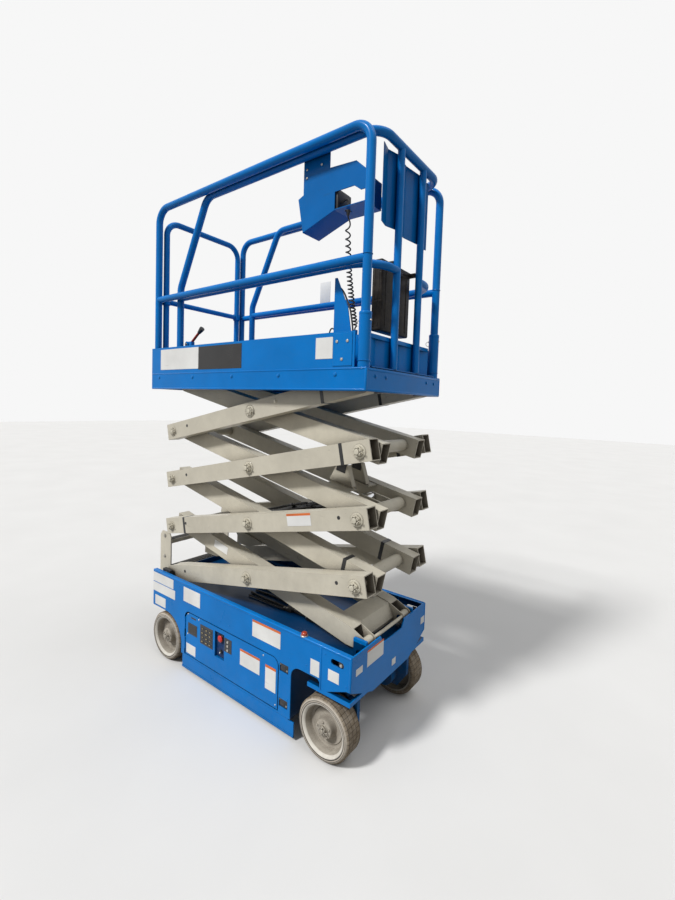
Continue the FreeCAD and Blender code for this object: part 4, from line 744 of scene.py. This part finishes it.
# Scissor arms: rectangular tubes in warm grey. Wide washers sit behind the pins' castle nuts,
# welds run round the bosses, and small holes are drilled near the ends.
pivots = {joint["name"]: Vector(joint["pos_m"]) for joint in frame["joints"] if "pos_m" in joint}
base_pivot = pivots["lift"]
first_centre = pivots["outer_1_pivot"]
LEVEL_RISE = 2 * (first_centre.z - base_pivot.z)
HALF_REACH = base_pivot.x - first_centre.x
ARM_LENGTH = 1.52
OUTER_FACE, INNER_FACE = 0.305, 0.219
outer_tilt = math.atan2(LEVEL_RISE, 2 * HALF_REACH)


def on_arm(level, along, up=0.0, inner=False):
    """A place on an arm's middle plane: along from its rear pivot, up across it."""
    tilt = -outer_tilt if inner else outer_tilt
    rises = level if inner else level - 1
    rear_pivot = Vector((base_pivot.x - 2 * HALF_REACH, 0, base_pivot.z + rises * LEVEL_RISE))
    return rear_pivot + Vector((
        along * math.cos(tilt) - up * math.sin(tilt), 0, along * math.sin(tilt) + up * math.cos(tilt)))


def turned_plate(centre, half_length, half_height, tilt, near_y, far_y, width=0.0005):
    """A flat plate on an arm's side, tilted with it."""
    half = Vector((half_length, 0, half_height))
    return flat_piece(centre - half + Vector((0, near_y, 0)), centre + half + Vector((0, far_y, 0)), width, 1,
                      (0, tilt, 0))


nut_steel = weathered("nut_steel", (0.70, 0.66, 0.54), (0.28, 0.24, 0.18), (0.30, 0.25, 0.19), 0.6, 0.45, 4.0,
                      0.34, 0.4, metallic=0.2, corner_shade=0.97, reach=0.014)
WIDE, SMALL, THIN = (gathered("nut_pattern", [stub(HUB, OUTWARD, *washer, 40, 0.0009), *castle_nut(*nut)])
                     for washer, nut in (
                         ((0.0035, 0.0345), (0.0262, 0.0030, 0.0170, 0.0240, 0.0275)),
                         ((0.0030, 0.0290), (0.0245, 0.0030, 0.0150, 0.0215, 0.0245)),
                         ((0.0030, 0.0325), (0.0250, 0.0028, 0.0095, 0.0125, 0.0140))))
for level in (1, 2, 3, 4):
    dress(f"inner_frame_{level}", arm_paint)
    dress(f"outer_arms_{level}", arm_paint)
    nuts, welds, holes = [], [], []
    for side, outward in SIDES:
        face = outward * OUTER_FACE
        for along in (0.0, ARM_LENGTH / 2, ARM_LENGTH):
            if (level, along) in ((1, 0.0), (4, ARM_LENGTH)):
                continue
            place = on_arm(level, along) + face
            nuts.append(copied(THIN if level == 4 else SMALL if along == 0.0 else WIDE, place, side))
            welds.append(ring_piece(place + outward * 0.0004, outward, 0.0305 if along == 0.0 else 0.0360, 0.0015))
        # Each drilled hole is a flush black disc: painted shade inside the hole.
        for along in (0.16, ARM_LENGTH - 0.105):
            holes.append(stub(on_arm(level, along, 0.012) + face - outward * SUNK, outward, 2 * SUNK, 0.0095, 24, 0.0))
    joined(f"pin_nuts_{level}", nuts, f"outer_{level}", nut_steel)
    joined(f"pin_welds_{level}", welds, f"outer_{level}", arm_paint)
    joined(f"outer_holes_{level}", holes, f"outer_{level}", black_steel)
for pattern in (WIDE, SMALL, THIN):
    bpy.data.objects.remove(pattern)

# Straps round the arms: flat black steel bands that hold the hoses, one pair on each of three
# outer levels and one on an inner level, and a bolt on its washer on each top outer arm.
ARM_HALF_WIDTH = 0.038
STRAP_GAP, STRAP_STEEL = 0.0012, 0.0012
STRAP_UP = 0.0515


def arm_straps(level, along, half_width, inner=False):
    """A strap round each arm of a pair, made of a top, a bottom and two side plates."""
    tilt = outer_tilt if inner else -outer_tilt
    plates = []
    for side, outward in SIDES:
        y = side * ((INNER_FACE if inner else OUTER_FACE) - ARM_HALF_WIDTH)
        half = ARM_HALF_WIDTH + STRAP_GAP
        for edge in (-1, 1):
            face = y + edge * half
            plates.append(turned_plate(
                on_arm(level, along, edge * STRAP_UP, inner), half_width, 0.0008, tilt, y - half, y + half))
            plates.append(turned_plate(
                on_arm(level, along, 0.0, inner), half_width, 0.052, tilt, face - edge * STRAP_STEEL, face))
    return plates


for level, along in ((4, 1.28), (2, 0.14), (3, 1.415)):
    joined(f"arm_bands_{level}", arm_straps(level, along, 0.010), f"outer_{level}", black_steel)
joined("inner_arm_straps", arm_straps(2, 1.385, 0.011, True), "inner_2", black_steel)
arm_bolts = []
for side, outward in SIDES:
    arm_bolts += washered(on_arm(4, 0.965, 0.018) + outward * OUTER_FACE, outward,
                          (0.0015, 0.0125, 28, 0.0005), (0.0075, 0.0085, 6, 0.001))
joined("outer_arm_bolts", arm_bolts, "outer_4", nut_steel)

# Rod bracket on the third inner frame: two plate ribs that take the rod's eye, with welded
# flanges down their front and black pads on both faces of their heads.
RIB_OUTER = 0.080
FLANGE_TILT = outer_tilt - math.radians(120.7)
rib_head = on_arm(3, 1.222, 0.1330, True)
flanges, rib_pads = [], []
for side, outward in SIDES:
    flanges.append(turned_plate(
        on_arm(3, 1.2860, 0.1040, True), 0.0600, 0.0030, FLANGE_TILT, side * 0.050, side * 0.084, 0.0012))
    for near, far in ((-0.0005, 0.0030), (-0.0155, -0.0115)):
        rib_pads.append(turned_plate(
            rib_head, 0.0300, 0.0235, outer_tilt, side * (RIB_OUTER + near), side * (RIB_OUTER + far), 0.001))
joined("bracket_flanges", flanges, "inner_3", arm_paint)
joined("bracket_pads", rib_pads, "inner_3", black_steel)

# Arm labels on the right side: blank film along the lowest inner arm and the second outer
# arm, the second one headed by an orange band.
for name, place, half_length, half_height, tilt, face, film, body, material in (
        ("inner_arm_label", (-0.262, 0, 0.7835), 0.066, 0.0245, outer_tilt, INNER_FACE, LABEL, "inner_1", blank_film),
        ("outer_arm_label", (0.461, 0, 1.1085), 0.083, 0.032, -outer_tilt, OUTER_FACE, LABEL, "outer_2", blank_film),
        ("outer_arm_stripe", (0.4555, 0, 1.134), 0.083, 0.006, -outer_tilt, OUTER_FACE, STRIPE, "outer_2",
         orange_stripe)):
    joined(name, [turned_plate(Vector(place), half_length, half_height, tilt, -face - film, -face + SUNK)],
           body, material)

# Lift cylinder: gloss black barrel and a bright chromed rod. A turned gland and a scraper
# close the barrel's end, and a steel port is screwed into its side near the foot.
cylinder_black = grained("cylinder_black", (0.012, 0.012, 0.013), 0.22, 120, 0.3, 0.04)
chrome = grained("chromed_rod", (0.75, 0.76, 0.78), 0.12, 700, 0.05, 0.02, 1.0)
dress("lift_cylinder_barrel", cylinder_black)
dress("lift_cylinder_rod", chrome)
BARREL_LENGTH = 1.1202
EYE_RADIUS = 0.030
rod_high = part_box("lift_cylinder_rod")[1]
cylinder_start = pivots["barrel_pivot"]
cylinder_end = Vector((rod_high.x - EYE_RADIUS, 0, rod_high.z - EYE_RADIUS))
cylinder_way = (cylinder_end - cylinder_start).normalized()
cylinder_up = Vector((-cylinder_way.z, 0, cylinder_way.x))


def on_barrel(along, up=0.0, y=0.0):
    """A place at the barrel: along it from its foot, up across it, and sideways."""
    return cylinder_start + cylinder_way * along + cylinder_up * up + Vector((0, y, 0))


barrel_tip = on_barrel(BARREL_LENGTH)
joined("cylinder_gland", [
    lathe_piece([(0.0222, 0.004), (0.034, 0.004), (0.0435, 0.001), (0.0452, -0.004), (0.0452, -0.049),
                 (0.0405, -0.054)], barrel_tip, cylinder_way),
    lathe_piece([(0.0222, 0.010), (0.028, 0.009), (0.030, 0.003)], barrel_tip, cylinder_way)],
    "lift_barrel", cylinder_black)
port = on_barrel(0.14)
joined("cylinder_port", [
    round_piece(port + Vector((0, -0.036, 0.006)), port + Vector((0, -0.060, 0.012)), 0.013, 6, 0.0015),
    round_piece(port + Vector((0, -0.058, 0.0115)), port + Vector((0, -0.072, 0.015)), 0.009, 6, 0.001)],
    "lift_barrel", bolt_steel)

# Lines on the barrel: two black tubes along its right side, bent in at their ends and held
# by two pairs of clips.
LINE_BEND = 0.03
lines = []
for y, up, start, end in ((-0.0560, 0.0240, 0.16, 0.90), (-0.0420, 0.0500, 0.36, 0.86)):
    lines.append(tube_piece([on_barrel(along, up + rise, y) for along, rise in (
        (start, -0.006), (start + LINE_BEND, 0.0), (end - LINE_BEND, 0.0), (end, -0.012))], 0.0072))
for along in (0.45, 0.74):
    lines.append(round_piece(on_barrel(along, 0.020, -0.040), on_barrel(along, 0.020, -0.0620), 0.0125, 8, 0.001))
    lines.append(round_piece(on_barrel(along, 0.034, -0.026), on_barrel(along, 0.052, -0.046), 0.0100, 8, 0.001))
joined("cylinder_lines", lines, "lift_barrel", cylinder_black)


# Platform: a welded frame under a deck of tread plate, with toe boards and guard rails of
# round tube, all in the azure paint.
def tread_plate(name, top):
    """Blue paint with the raised lugs of tread plate on its walked-on face, rubbed paler on the lugs."""
    material = weathered(name, BLUE, BLUE_BARE, FLOOR_DUST, 0.30, 0.12, 0.35, 0.32, 0.22, coat=0.06)
    tree = material.node_tree
    normal = shader_of(material).inputs["Normal"]
    apart = add_node(tree, "ShaderNodeSeparateXYZ", {0: object_place(tree)}).outputs
    waves = [math_node(tree, "SINE", math_node(tree, "MULTIPLY", math_node(tree, way, apart["X"], apart["Y"]),
                                               math.pi / LUG_PITCH)) for way in ("ADD", "SUBTRACT")]
    crossing = math_node(tree, "ABSOLUTE", math_node(tree, "MULTIPLY", *waves))
    on_top = range_node(tree, apart["Z"], top - 0.003, top - 0.001)
    raised = math_node(tree, "MULTIPLY", range_node(tree, crossing, 0.45, 0.75), on_top)
    laid_over(material, math_node(tree, "MULTIPLY", raised, 0.45), (0.22, 0.33, 0.42))
    relief = add_node(tree, "ShaderNodeBump", {
        "Strength": 0.8, "Distance": 0.0012, "Height": raised, "Normal": normal.links[0].from_socket})
    tree.links.new(relief.outputs["Normal"], normal)
    return material


LUG_PITCH = 0.036
platform_low, platform_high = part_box("platform_frame")
DECK = platform_high.z
dress("platform_frame", tread_plate("deck_paint", DECK))
for name in ("toe_boards", "main_rail_left", "main_rail_right", "rear_rail", "entry_mid_rail"):
    dress(name, blue_paint)

# Platform band: folded plate round the frame with rounded edges, bolts on their washers in
# its sides and front, and two rubber pads under its front.
FORWARD = Vector((1, 0, 0))
BAND_SIDE = -platform_low.y
BAND_EDGE, BAND_INSET = 0.0066, 0.0045
band_bolts = []
for side, outward in SIDES:
    for bolt_x in (-0.72, -0.36, 0.0, 0.36, 0.72):
        band_bolts += washered((bolt_x, side * BAND_SIDE, DECK - 0.030), outward,
                               (0.0012, 0.011, 24, 0.0004), (0.0034, 0.0075, 6, 0.0008))
for bolt_y in (-0.30, -0.21, 0.21, 0.30):
    band_bolts += washered((platform_high.x, bolt_y, DECK - 0.035), FORWARD,
                           (0.0015, 0.010, 24, 0.0004), (0.005, 0.007, 6, 0.0008))
joined("band_bolts", band_bolts, "platform", blue_paint)
front_x = platform_high.x - BAND_INSET
low_z = DECK - 0.0975
band_edges = []
for side, outward in SIDES:
    y = side * (BAND_SIDE - BAND_INSET)
    for start, end in (
            ((platform_low.x + 0.002, y, low_z), (platform_high.x - 0.002, y, low_z)),
            ((platform_low.x + 0.002, y, DECK - BAND_INSET), (platform_high.x - 0.002, y, DECK - BAND_INSET)),
            ((front_x, y, DECK - 0.1), (front_x, y, DECK - 0.004))):
        band_edges.append(round_piece(start, end, BAND_EDGE, 20, 0.002))
for z in (low_z, DECK - 0.0092):
    band_edges.append(round_piece((front_x, 0.004 - BAND_SIDE, z), (front_x, BAND_SIDE - 0.004, z), BAND_EDGE, 20,
                                  0.002))
joined("band_edges", band_edges, "platform", blue_paint)
joined("band_pads", [flat_piece((0.835, pad_y - 0.04, DECK - 0.108), (0.885, pad_y + 0.04, DECK - 0.0985), 0.004, 3)
                     for pad_y in (-0.20, 0.20)], "platform", black_plastic)

# Toe board plates: blank white and black plates riveted flat on the right toe board, and a
# blue cover with three bolts near its front end.
side_plates("toe_plate_white", ((-701, -302, 1887, 2015),), 0.0012, "platform", blank_film,
            face=-BAND_SIDE)
side_plates("toe_plate_black", ((-302, 81, 1882, 2015),), 0.0012, "platform", gloss_black,
            face=-BAND_SIDE)
side_plates("toe_plate_small", ((602, 703, 1910, 2008),), 0.0012, "platform", blank_film,
            face=-BAND_SIDE)
side_plates("toe_cover", ((705, 812, 1875, 2022),), 0.0028, "platform", blue_paint,
            face=-BAND_SIDE, width=0.001)
joined("cover_bolts", [stub((x, -BAND_SIDE - 0.0025, z), RIGHT, 0.0035, 0.0075) for x, z in (
    (0.728, 1.985), (0.786, 1.985), (0.757, 1.905))], "platform", bolt_steel)

# Guard rails: turned collars and steel pull pins where the front posts stand in their
# sleeves, weld beads at the joints, and a blank placard on the far side.
main_low, main_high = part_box("main_rail_right")
POST_X = main_high.x - 0.028
RAIL_Y = -(main_low.y + main_high.y) / 2
collars, pins = [], []
for side, outward in SIDES:
    y = side * RAIL_Y
    collars.append(lathe_piece([(0.0212, 0.004), (0.0262, 0.003), (0.0288, -0.001), (0.0288, -0.010),
                                (0.0278, -0.012)], (POST_X, y, DECK + 0.240), (0, 0, 1)))
    for up, radius in ((0.03, 0.0285), (0.49, 0.0215)):
        collars.append(ring_piece((POST_X, y, DECK + up), (0, 0, 1), radius, 0.0022))
    pins.append(round_piece((POST_X - 0.034, y, DECK + 0.205), (POST_X + 0.0325, y, DECK + 0.205), 0.0045, 16, 0.001))
    pins.append(ring_piece((POST_X - 0.036, y, DECK + 0.193), (0, 1, 0.2), 0.012, 0.0014, 32))
joined("post_collars", collars, "platform", blue_paint)
joined("post_pins", pins, "platform", bolt_steel)
joined("far_placard", [flat_piece((0.036, 0.322, 2.372), (0.121, 0.3235, 2.506), 0.0005)],
       "platform", blank_film)

# Extension: a sliding deck of tread plate with its own rail, a toe panel with a turned-down
# hem along its top, and a folded panel bolted between the front posts.
# A darker copy of the blue paint, as painted shade, for the folded front panel and the control guard.
shaded_blue = weathered("shaded_blue", (0.0, 0.150, 0.48), (0.02, 0.12, 0.30), FLOOR_DUST, 0.30, 0.09, 0.35, 0.30,
                        0.22, coat=0.08)
dress("extension_deck", tread_plate("extension_deck_paint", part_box("extension_deck")[1].z))
dress("extension_rail", blue_paint)
dress("front_toe_panel", blue_paint)
dress("front_panel_folded", shaded_blue)
toe_low, toe_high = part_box("front_toe_panel")
joined("toe_panel_hem", [flat_piece(
    (toe_high.x - 0.0030, toe_low.y, toe_high.z - 0.020), (toe_high.x + 0.0004, toe_high.y, toe_high.z + 0.0004),
    0.0010)], "extension", blue_paint)
FRONT_POST_Y = 0.1129
panel_low, panel_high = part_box("front_panel_folded")
joined("panel_bolts", [
    stub((panel_high.x - 0.0005, post_y + 0.023, bolt_z), FORWARD, 0.004, 0.006)
    for post_y in (-FRONT_POST_Y, FRONT_POST_Y) for bolt_z in (panel_low.z + 0.03, panel_high.z - 0.03)],
    "extension", blue_paint)

# Curly cord of the platform controls: black polyurethane, wound tight when slack. It hangs
# from the box's gland to the gland on the bracket, stretched at the top and dense below.
cord_black = grained("cord_black", (0.012, 0.012, 0.013), 0.42, 900, 0.2, 0.05)
CORD_Y = -0.2357
CORD_DIAMETER = 0.0072
CORD_TURNS, TURN_POINTS, TURN_RADIUS = 22, 14, 0.0125
CORD_BOW, CORD_STRAIGHT = 0.012, 0.012
STRETCH = 0.68
cord_low, cord_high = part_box("control_cord")
route_top = Vector((0.660, CORD_Y, cord_high.z))
route_low = Vector((0.722, CORD_Y, cord_low.z))
cord_points = [route_top, route_top - Vector((0, 0, CORD_STRAIGHT))]
last_point = CORD_TURNS * TURN_POINTS
for index in range(last_point + 1):
    share = index / last_point
    along = share ** STRETCH
    centre = route_top.lerp(route_low, along) - Vector((CORD_BOW * math.sin(math.pi * along), 0, 0))
    centre.z = route_top.z - 0.03 + (route_low.z + 0.05 - route_top.z) * along
    swell = TURN_RADIUS * (0.88 + 0.12 * share)
    angle = 2 * math.pi * index / TURN_POINTS
    cord_points.append(centre + Vector((swell * math.cos(angle), swell * math.sin(angle), 0)))
cord_points += [route_low + Vector((0, 0, CORD_STRAIGHT)), route_low]
cord_curve = bpy.data.curves.new("curly_cord", "CURVE")
cord_curve.dimensions = "3D"
cord_curve.bevel_depth = CORD_DIAMETER / 2
cord_curve.bevel_resolution = 3
spline = cord_curve.splines.new("NURBS")
spline.points.add(len(cord_points) - 1)
for point, place in zip(spline.points, cord_points):
    point.co = (*place, 1)
spline.order_u = 3
spline.use_endpoint_u = True
spline.resolution_u = 3
curly_cord = bpy.data.objects.new("curly_cord", cord_curve)
bpy.context.scene.collection.objects.link(curly_cord)
curly_cord.data.materials.append(cord_black)
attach(curly_cord, "extension")
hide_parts("control_cord")

# Control station: a slim black moulded case with a joystick in a rubber boot, a lead that
# loops down to the gland in the guard's floor, a red stop button and two toggle switches.
UP = Vector((0, 0, 1))
CASE_DEPTH = 0.100
case_low, case_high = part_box("control_box")
CASE_Z = case_low.z + 0.024
case_x = case_low.x + CASE_DEPTH
stick = Vector((case_low.x + 0.048, case_low.y + 0.046, CASE_Z + 0.102))
gland = Vector((route_top.x, route_top.y, CASE_Z))
control_station = joined("control_station", [
    flat_piece((case_low.x, case_low.y, CASE_Z), (case_x, case_high.y, CASE_Z + 0.098), 0.006, 3),
    flat_piece((case_low.x + 0.007, case_low.y + 0.007, CASE_Z + 0.0975),
               (case_x - 0.007, case_high.y - 0.007, CASE_Z + 0.1025), 0.0022),
    lathe_piece([(0.0215, 0.0), (0.0190, 0.005), (0.0205, 0.008), (0.0160, 0.014), (0.0170, 0.018),
                 (0.0105, 0.024), (0.0072, 0.030)], stick, UP),
    stub(stick + UP * 0.020, UP, 0.038, 0.0055, 20, 0.0),
    lathe_piece([(0.0, 0.0860), (0.0105, 0.0840), (0.0150, 0.0770), (0.0155, 0.0660), (0.0125, 0.0550),
                 (0.0070, 0.0500), (0.0, 0.0495)], stick, UP),
    tube_piece([(case_x - 0.004, gland.y, CASE_Z + 0.040), (case_low.x + 0.112, gland.y, CASE_Z + 0.050),
                (gland.x - 0.002, gland.y, CASE_Z + 0.060), (gland.x + 0.002, gland.y, CASE_Z + 0.025),
                (gland.x, gland.y, CASE_Z - 0.004)], 0.0046),
    lathe_piece([(0.0, 0.004), (0.0118, 0.004), (0.0122, -0.006), (0.0090, -0.0105), (0.0078, -0.0240),
                 (0.0, -0.0242)], gland, UP)], "extension", black_plastic)
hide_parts("control_box")
stop_place = Vector((case_low.x + 0.030, case_high.y - 0.022, CASE_Z + 0.1020))
joined("station_stop", [lathe_piece([
    (0.0075, 0.0), (0.0075, 0.006), (0.0135, 0.008), (0.0140, 0.012), (0.0115, 0.0150), (0.0, 0.0165)],
    stop_place, UP)], "extension", button_red)
switches = []
for foot, tip in ((0.030, 0.033), (0.048, 0.045)):
    switches.append(round_piece(
        stop_place + Vector((foot, 0, 0)), stop_place + Vector((tip, 0, 0.012)), 0.0032, 14, 0.0008))
    switches.append(stub(stop_place + Vector((foot, 0, -0.0005)), UP, 0.003, 0.0062, 6, 0.0006))
joined("station_switches", switches, "extension", bolt_steel)

# Control guard and cord bracket: folded blue plate round the station, with three bolts in its
# side, and a black cable that comes up the bracket beside a small loop.
CABLE_Y = -0.2668
LOOP_Y = -0.2660
# The guard takes the darker blue: painted shade.
dress("control_guard", shaded_blue)
dress("cord_bracket", blue_paint)
guard_low, guard_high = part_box("control_guard")
joined("guard_bolts", [stub((guard_low.x + along, guard_low.y, guard_high.z - down), RIGHT, 0.004, 0.0065)
                       for along, down in ((0.055, 0.060), (0.150, 0.060), (0.055, 0.100))],
       "extension", bolt_steel)
joined("bracket_cable", [
    tube_piece([(0.642, CABLE_Y, 2.266), (0.654, CABLE_Y, 2.258), (0.676, CABLE_Y, 2.236), (0.692, CABLE_Y, 2.200),
                (0.713, CABLE_Y, 2.158), (0.722, CABLE_Y, 2.118), (0.732, CABLE_Y, 2.066), (0.733, -0.2600, 2.010),
                (0.730, -0.2560, 1.935)], 0.0042),
    tube_piece([(0.590, LOOP_Y, 1.990), (0.589, LOOP_Y, 2.032), (0.594, LOOP_Y, 2.062), (0.608, LOOP_Y, 2.074),
                (0.622, LOOP_Y, 2.066), (0.628, LOOP_Y, 2.052)], 0.0036)],
    "extension", hose_rubber)

# Manual case: a ribbed box moulded in black plastic with a deeper lid on a hinge, hung by
# two hooks on the inside of the folded front panel.
holder_black = weathered("holder_black", (0.022, 0.019, 0.017), (0.10, 0.085, 0.07), (0.22, 0.185, 0.14), 0.7, 0.45,
                         4.0, 0.34, 0.3)
low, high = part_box("manual_holder")
CASE_Y = low.y + 0.060
CASE_FRONT = high.x - 0.0315
rib_low, rib_high = low.z + 0.022, high.z - 0.045
holder = [
    flat_piece((low.x + 0.002, CASE_Y + 0.003, low.z + 0.001), (CASE_FRONT - 0.003, high.y - 0.003, high.z - 0.024),
               0.010, 4),
    flat_piece((low.x, CASE_Y, high.z - 0.030), (CASE_FRONT, high.y, high.z), 0.007, 3),
    flat_piece((CASE_FRONT - 0.004, -0.030, high.z - 0.040), (CASE_FRONT + 0.003, 0.030, high.z - 0.022), 0.002)]
for rib_y in (CASE_Y + 0.045, CASE_Y + 0.145, CASE_Y + 0.245):
    holder.append(flat_piece((CASE_FRONT - 0.006, rib_y - 0.005, rib_low),
                             (CASE_FRONT - 0.0005, rib_y + 0.005, rib_high), 0.002))
for rib_x in (low.x + 0.018, low.x + 0.042):
    holder.append(flat_piece((rib_x - 0.004, CASE_Y, rib_low), (rib_x + 0.004, CASE_Y + 0.006, rib_high), 0.0018))
for hook_y in (-FRONT_POST_Y, FRONT_POST_Y):
    holder.append(flat_piece((CASE_FRONT - 0.004, hook_y - 0.008, high.z - 0.028),
                             (high.x, hook_y + 0.008, high.z - 0.006), 0.002))
manual_case = joined("manual_case", holder, "extension", holder_black)
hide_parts("manual_holder")

# Release lever: a bent red bar that unlocks the extension, with a black rubber grip, in a
# blue clamp with two bolts.
lever_red = weathered("lever_red", (0.36, 0.035, 0.022), (0.25, 0.2, 0.18), FLOOR_DUST, 0.5, 0.2, 3.0, 0.4, 0.3)
dress("release_lever", lever_red)
low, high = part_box("release_lever")
lever_y = high.y - 0.008
lever_way = Vector((0.135, 0, 0.099)).normalized()
lever_tip = Vector((high.x - 0.005, lever_y, high.z - 0.0065))
clamp_x, clamp_z = low.x + 0.018, low.z + 0.078
joined("lever_grip", [round_piece(lever_tip - lever_way * 0.040, lever_tip + lever_way * 0.004, 0.0105, 20, 0.002,
                                  end_radius=0.0165)], "extension", black_plastic)
joined("lever_clamp", [
    flat_piece((low.x - 0.004, low.y - 0.001, low.z + 0.040), (low.x + 0.062, lever_y + 0.012, low.z + 0.094), 0.003),
    round_piece((clamp_x, lever_y - 0.020, clamp_z), (clamp_x, lever_y + 0.020, clamp_z), 0.017, 28, 0.002)],
    "extension", blue_paint)
joined("lever_bolts", [
    stub((clamp_x, lever_y - 0.019, clamp_z), RIGHT, 0.007, 0.009, 6, 0.001),
    stub((low.x + 0.046, low.y, low.z + 0.055), RIGHT, 0.006, 0.006, 6, 0.001)],
    "extension", bolt_steel)

# Amber light: a low round lens on a turned metal base, standing on the chassis.
# The lens is clear plastic, coloured through.
amber_lens = grained("amber_lens", (0.46, 0.050, 0.016), 0.08, 500, 0.1, 0.05)
amber_low, amber_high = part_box("amber_light")
amber_foot = (amber_low + amber_high) / 2
amber_foot.z = amber_low.z
joined("amber_base", [lathe_piece([(0.0, 0.0), (0.0185, 0.0), (0.0185, 0.004), (0.0168, 0.0062), (0.0140, 0.0066)],
                                  amber_foot, UP)], "chassis", bolt_steel)
amber_dome = joined("amber_dome", [lathe_piece([
    (0.0145, 0.004), (0.0152, 0.009), (0.0146, 0.0145), (0.0116, 0.0190), (0.0062, 0.0218), (0.0, 0.0226)],
    amber_foot, UP)], "chassis", amber_lens)
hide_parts("amber_light")
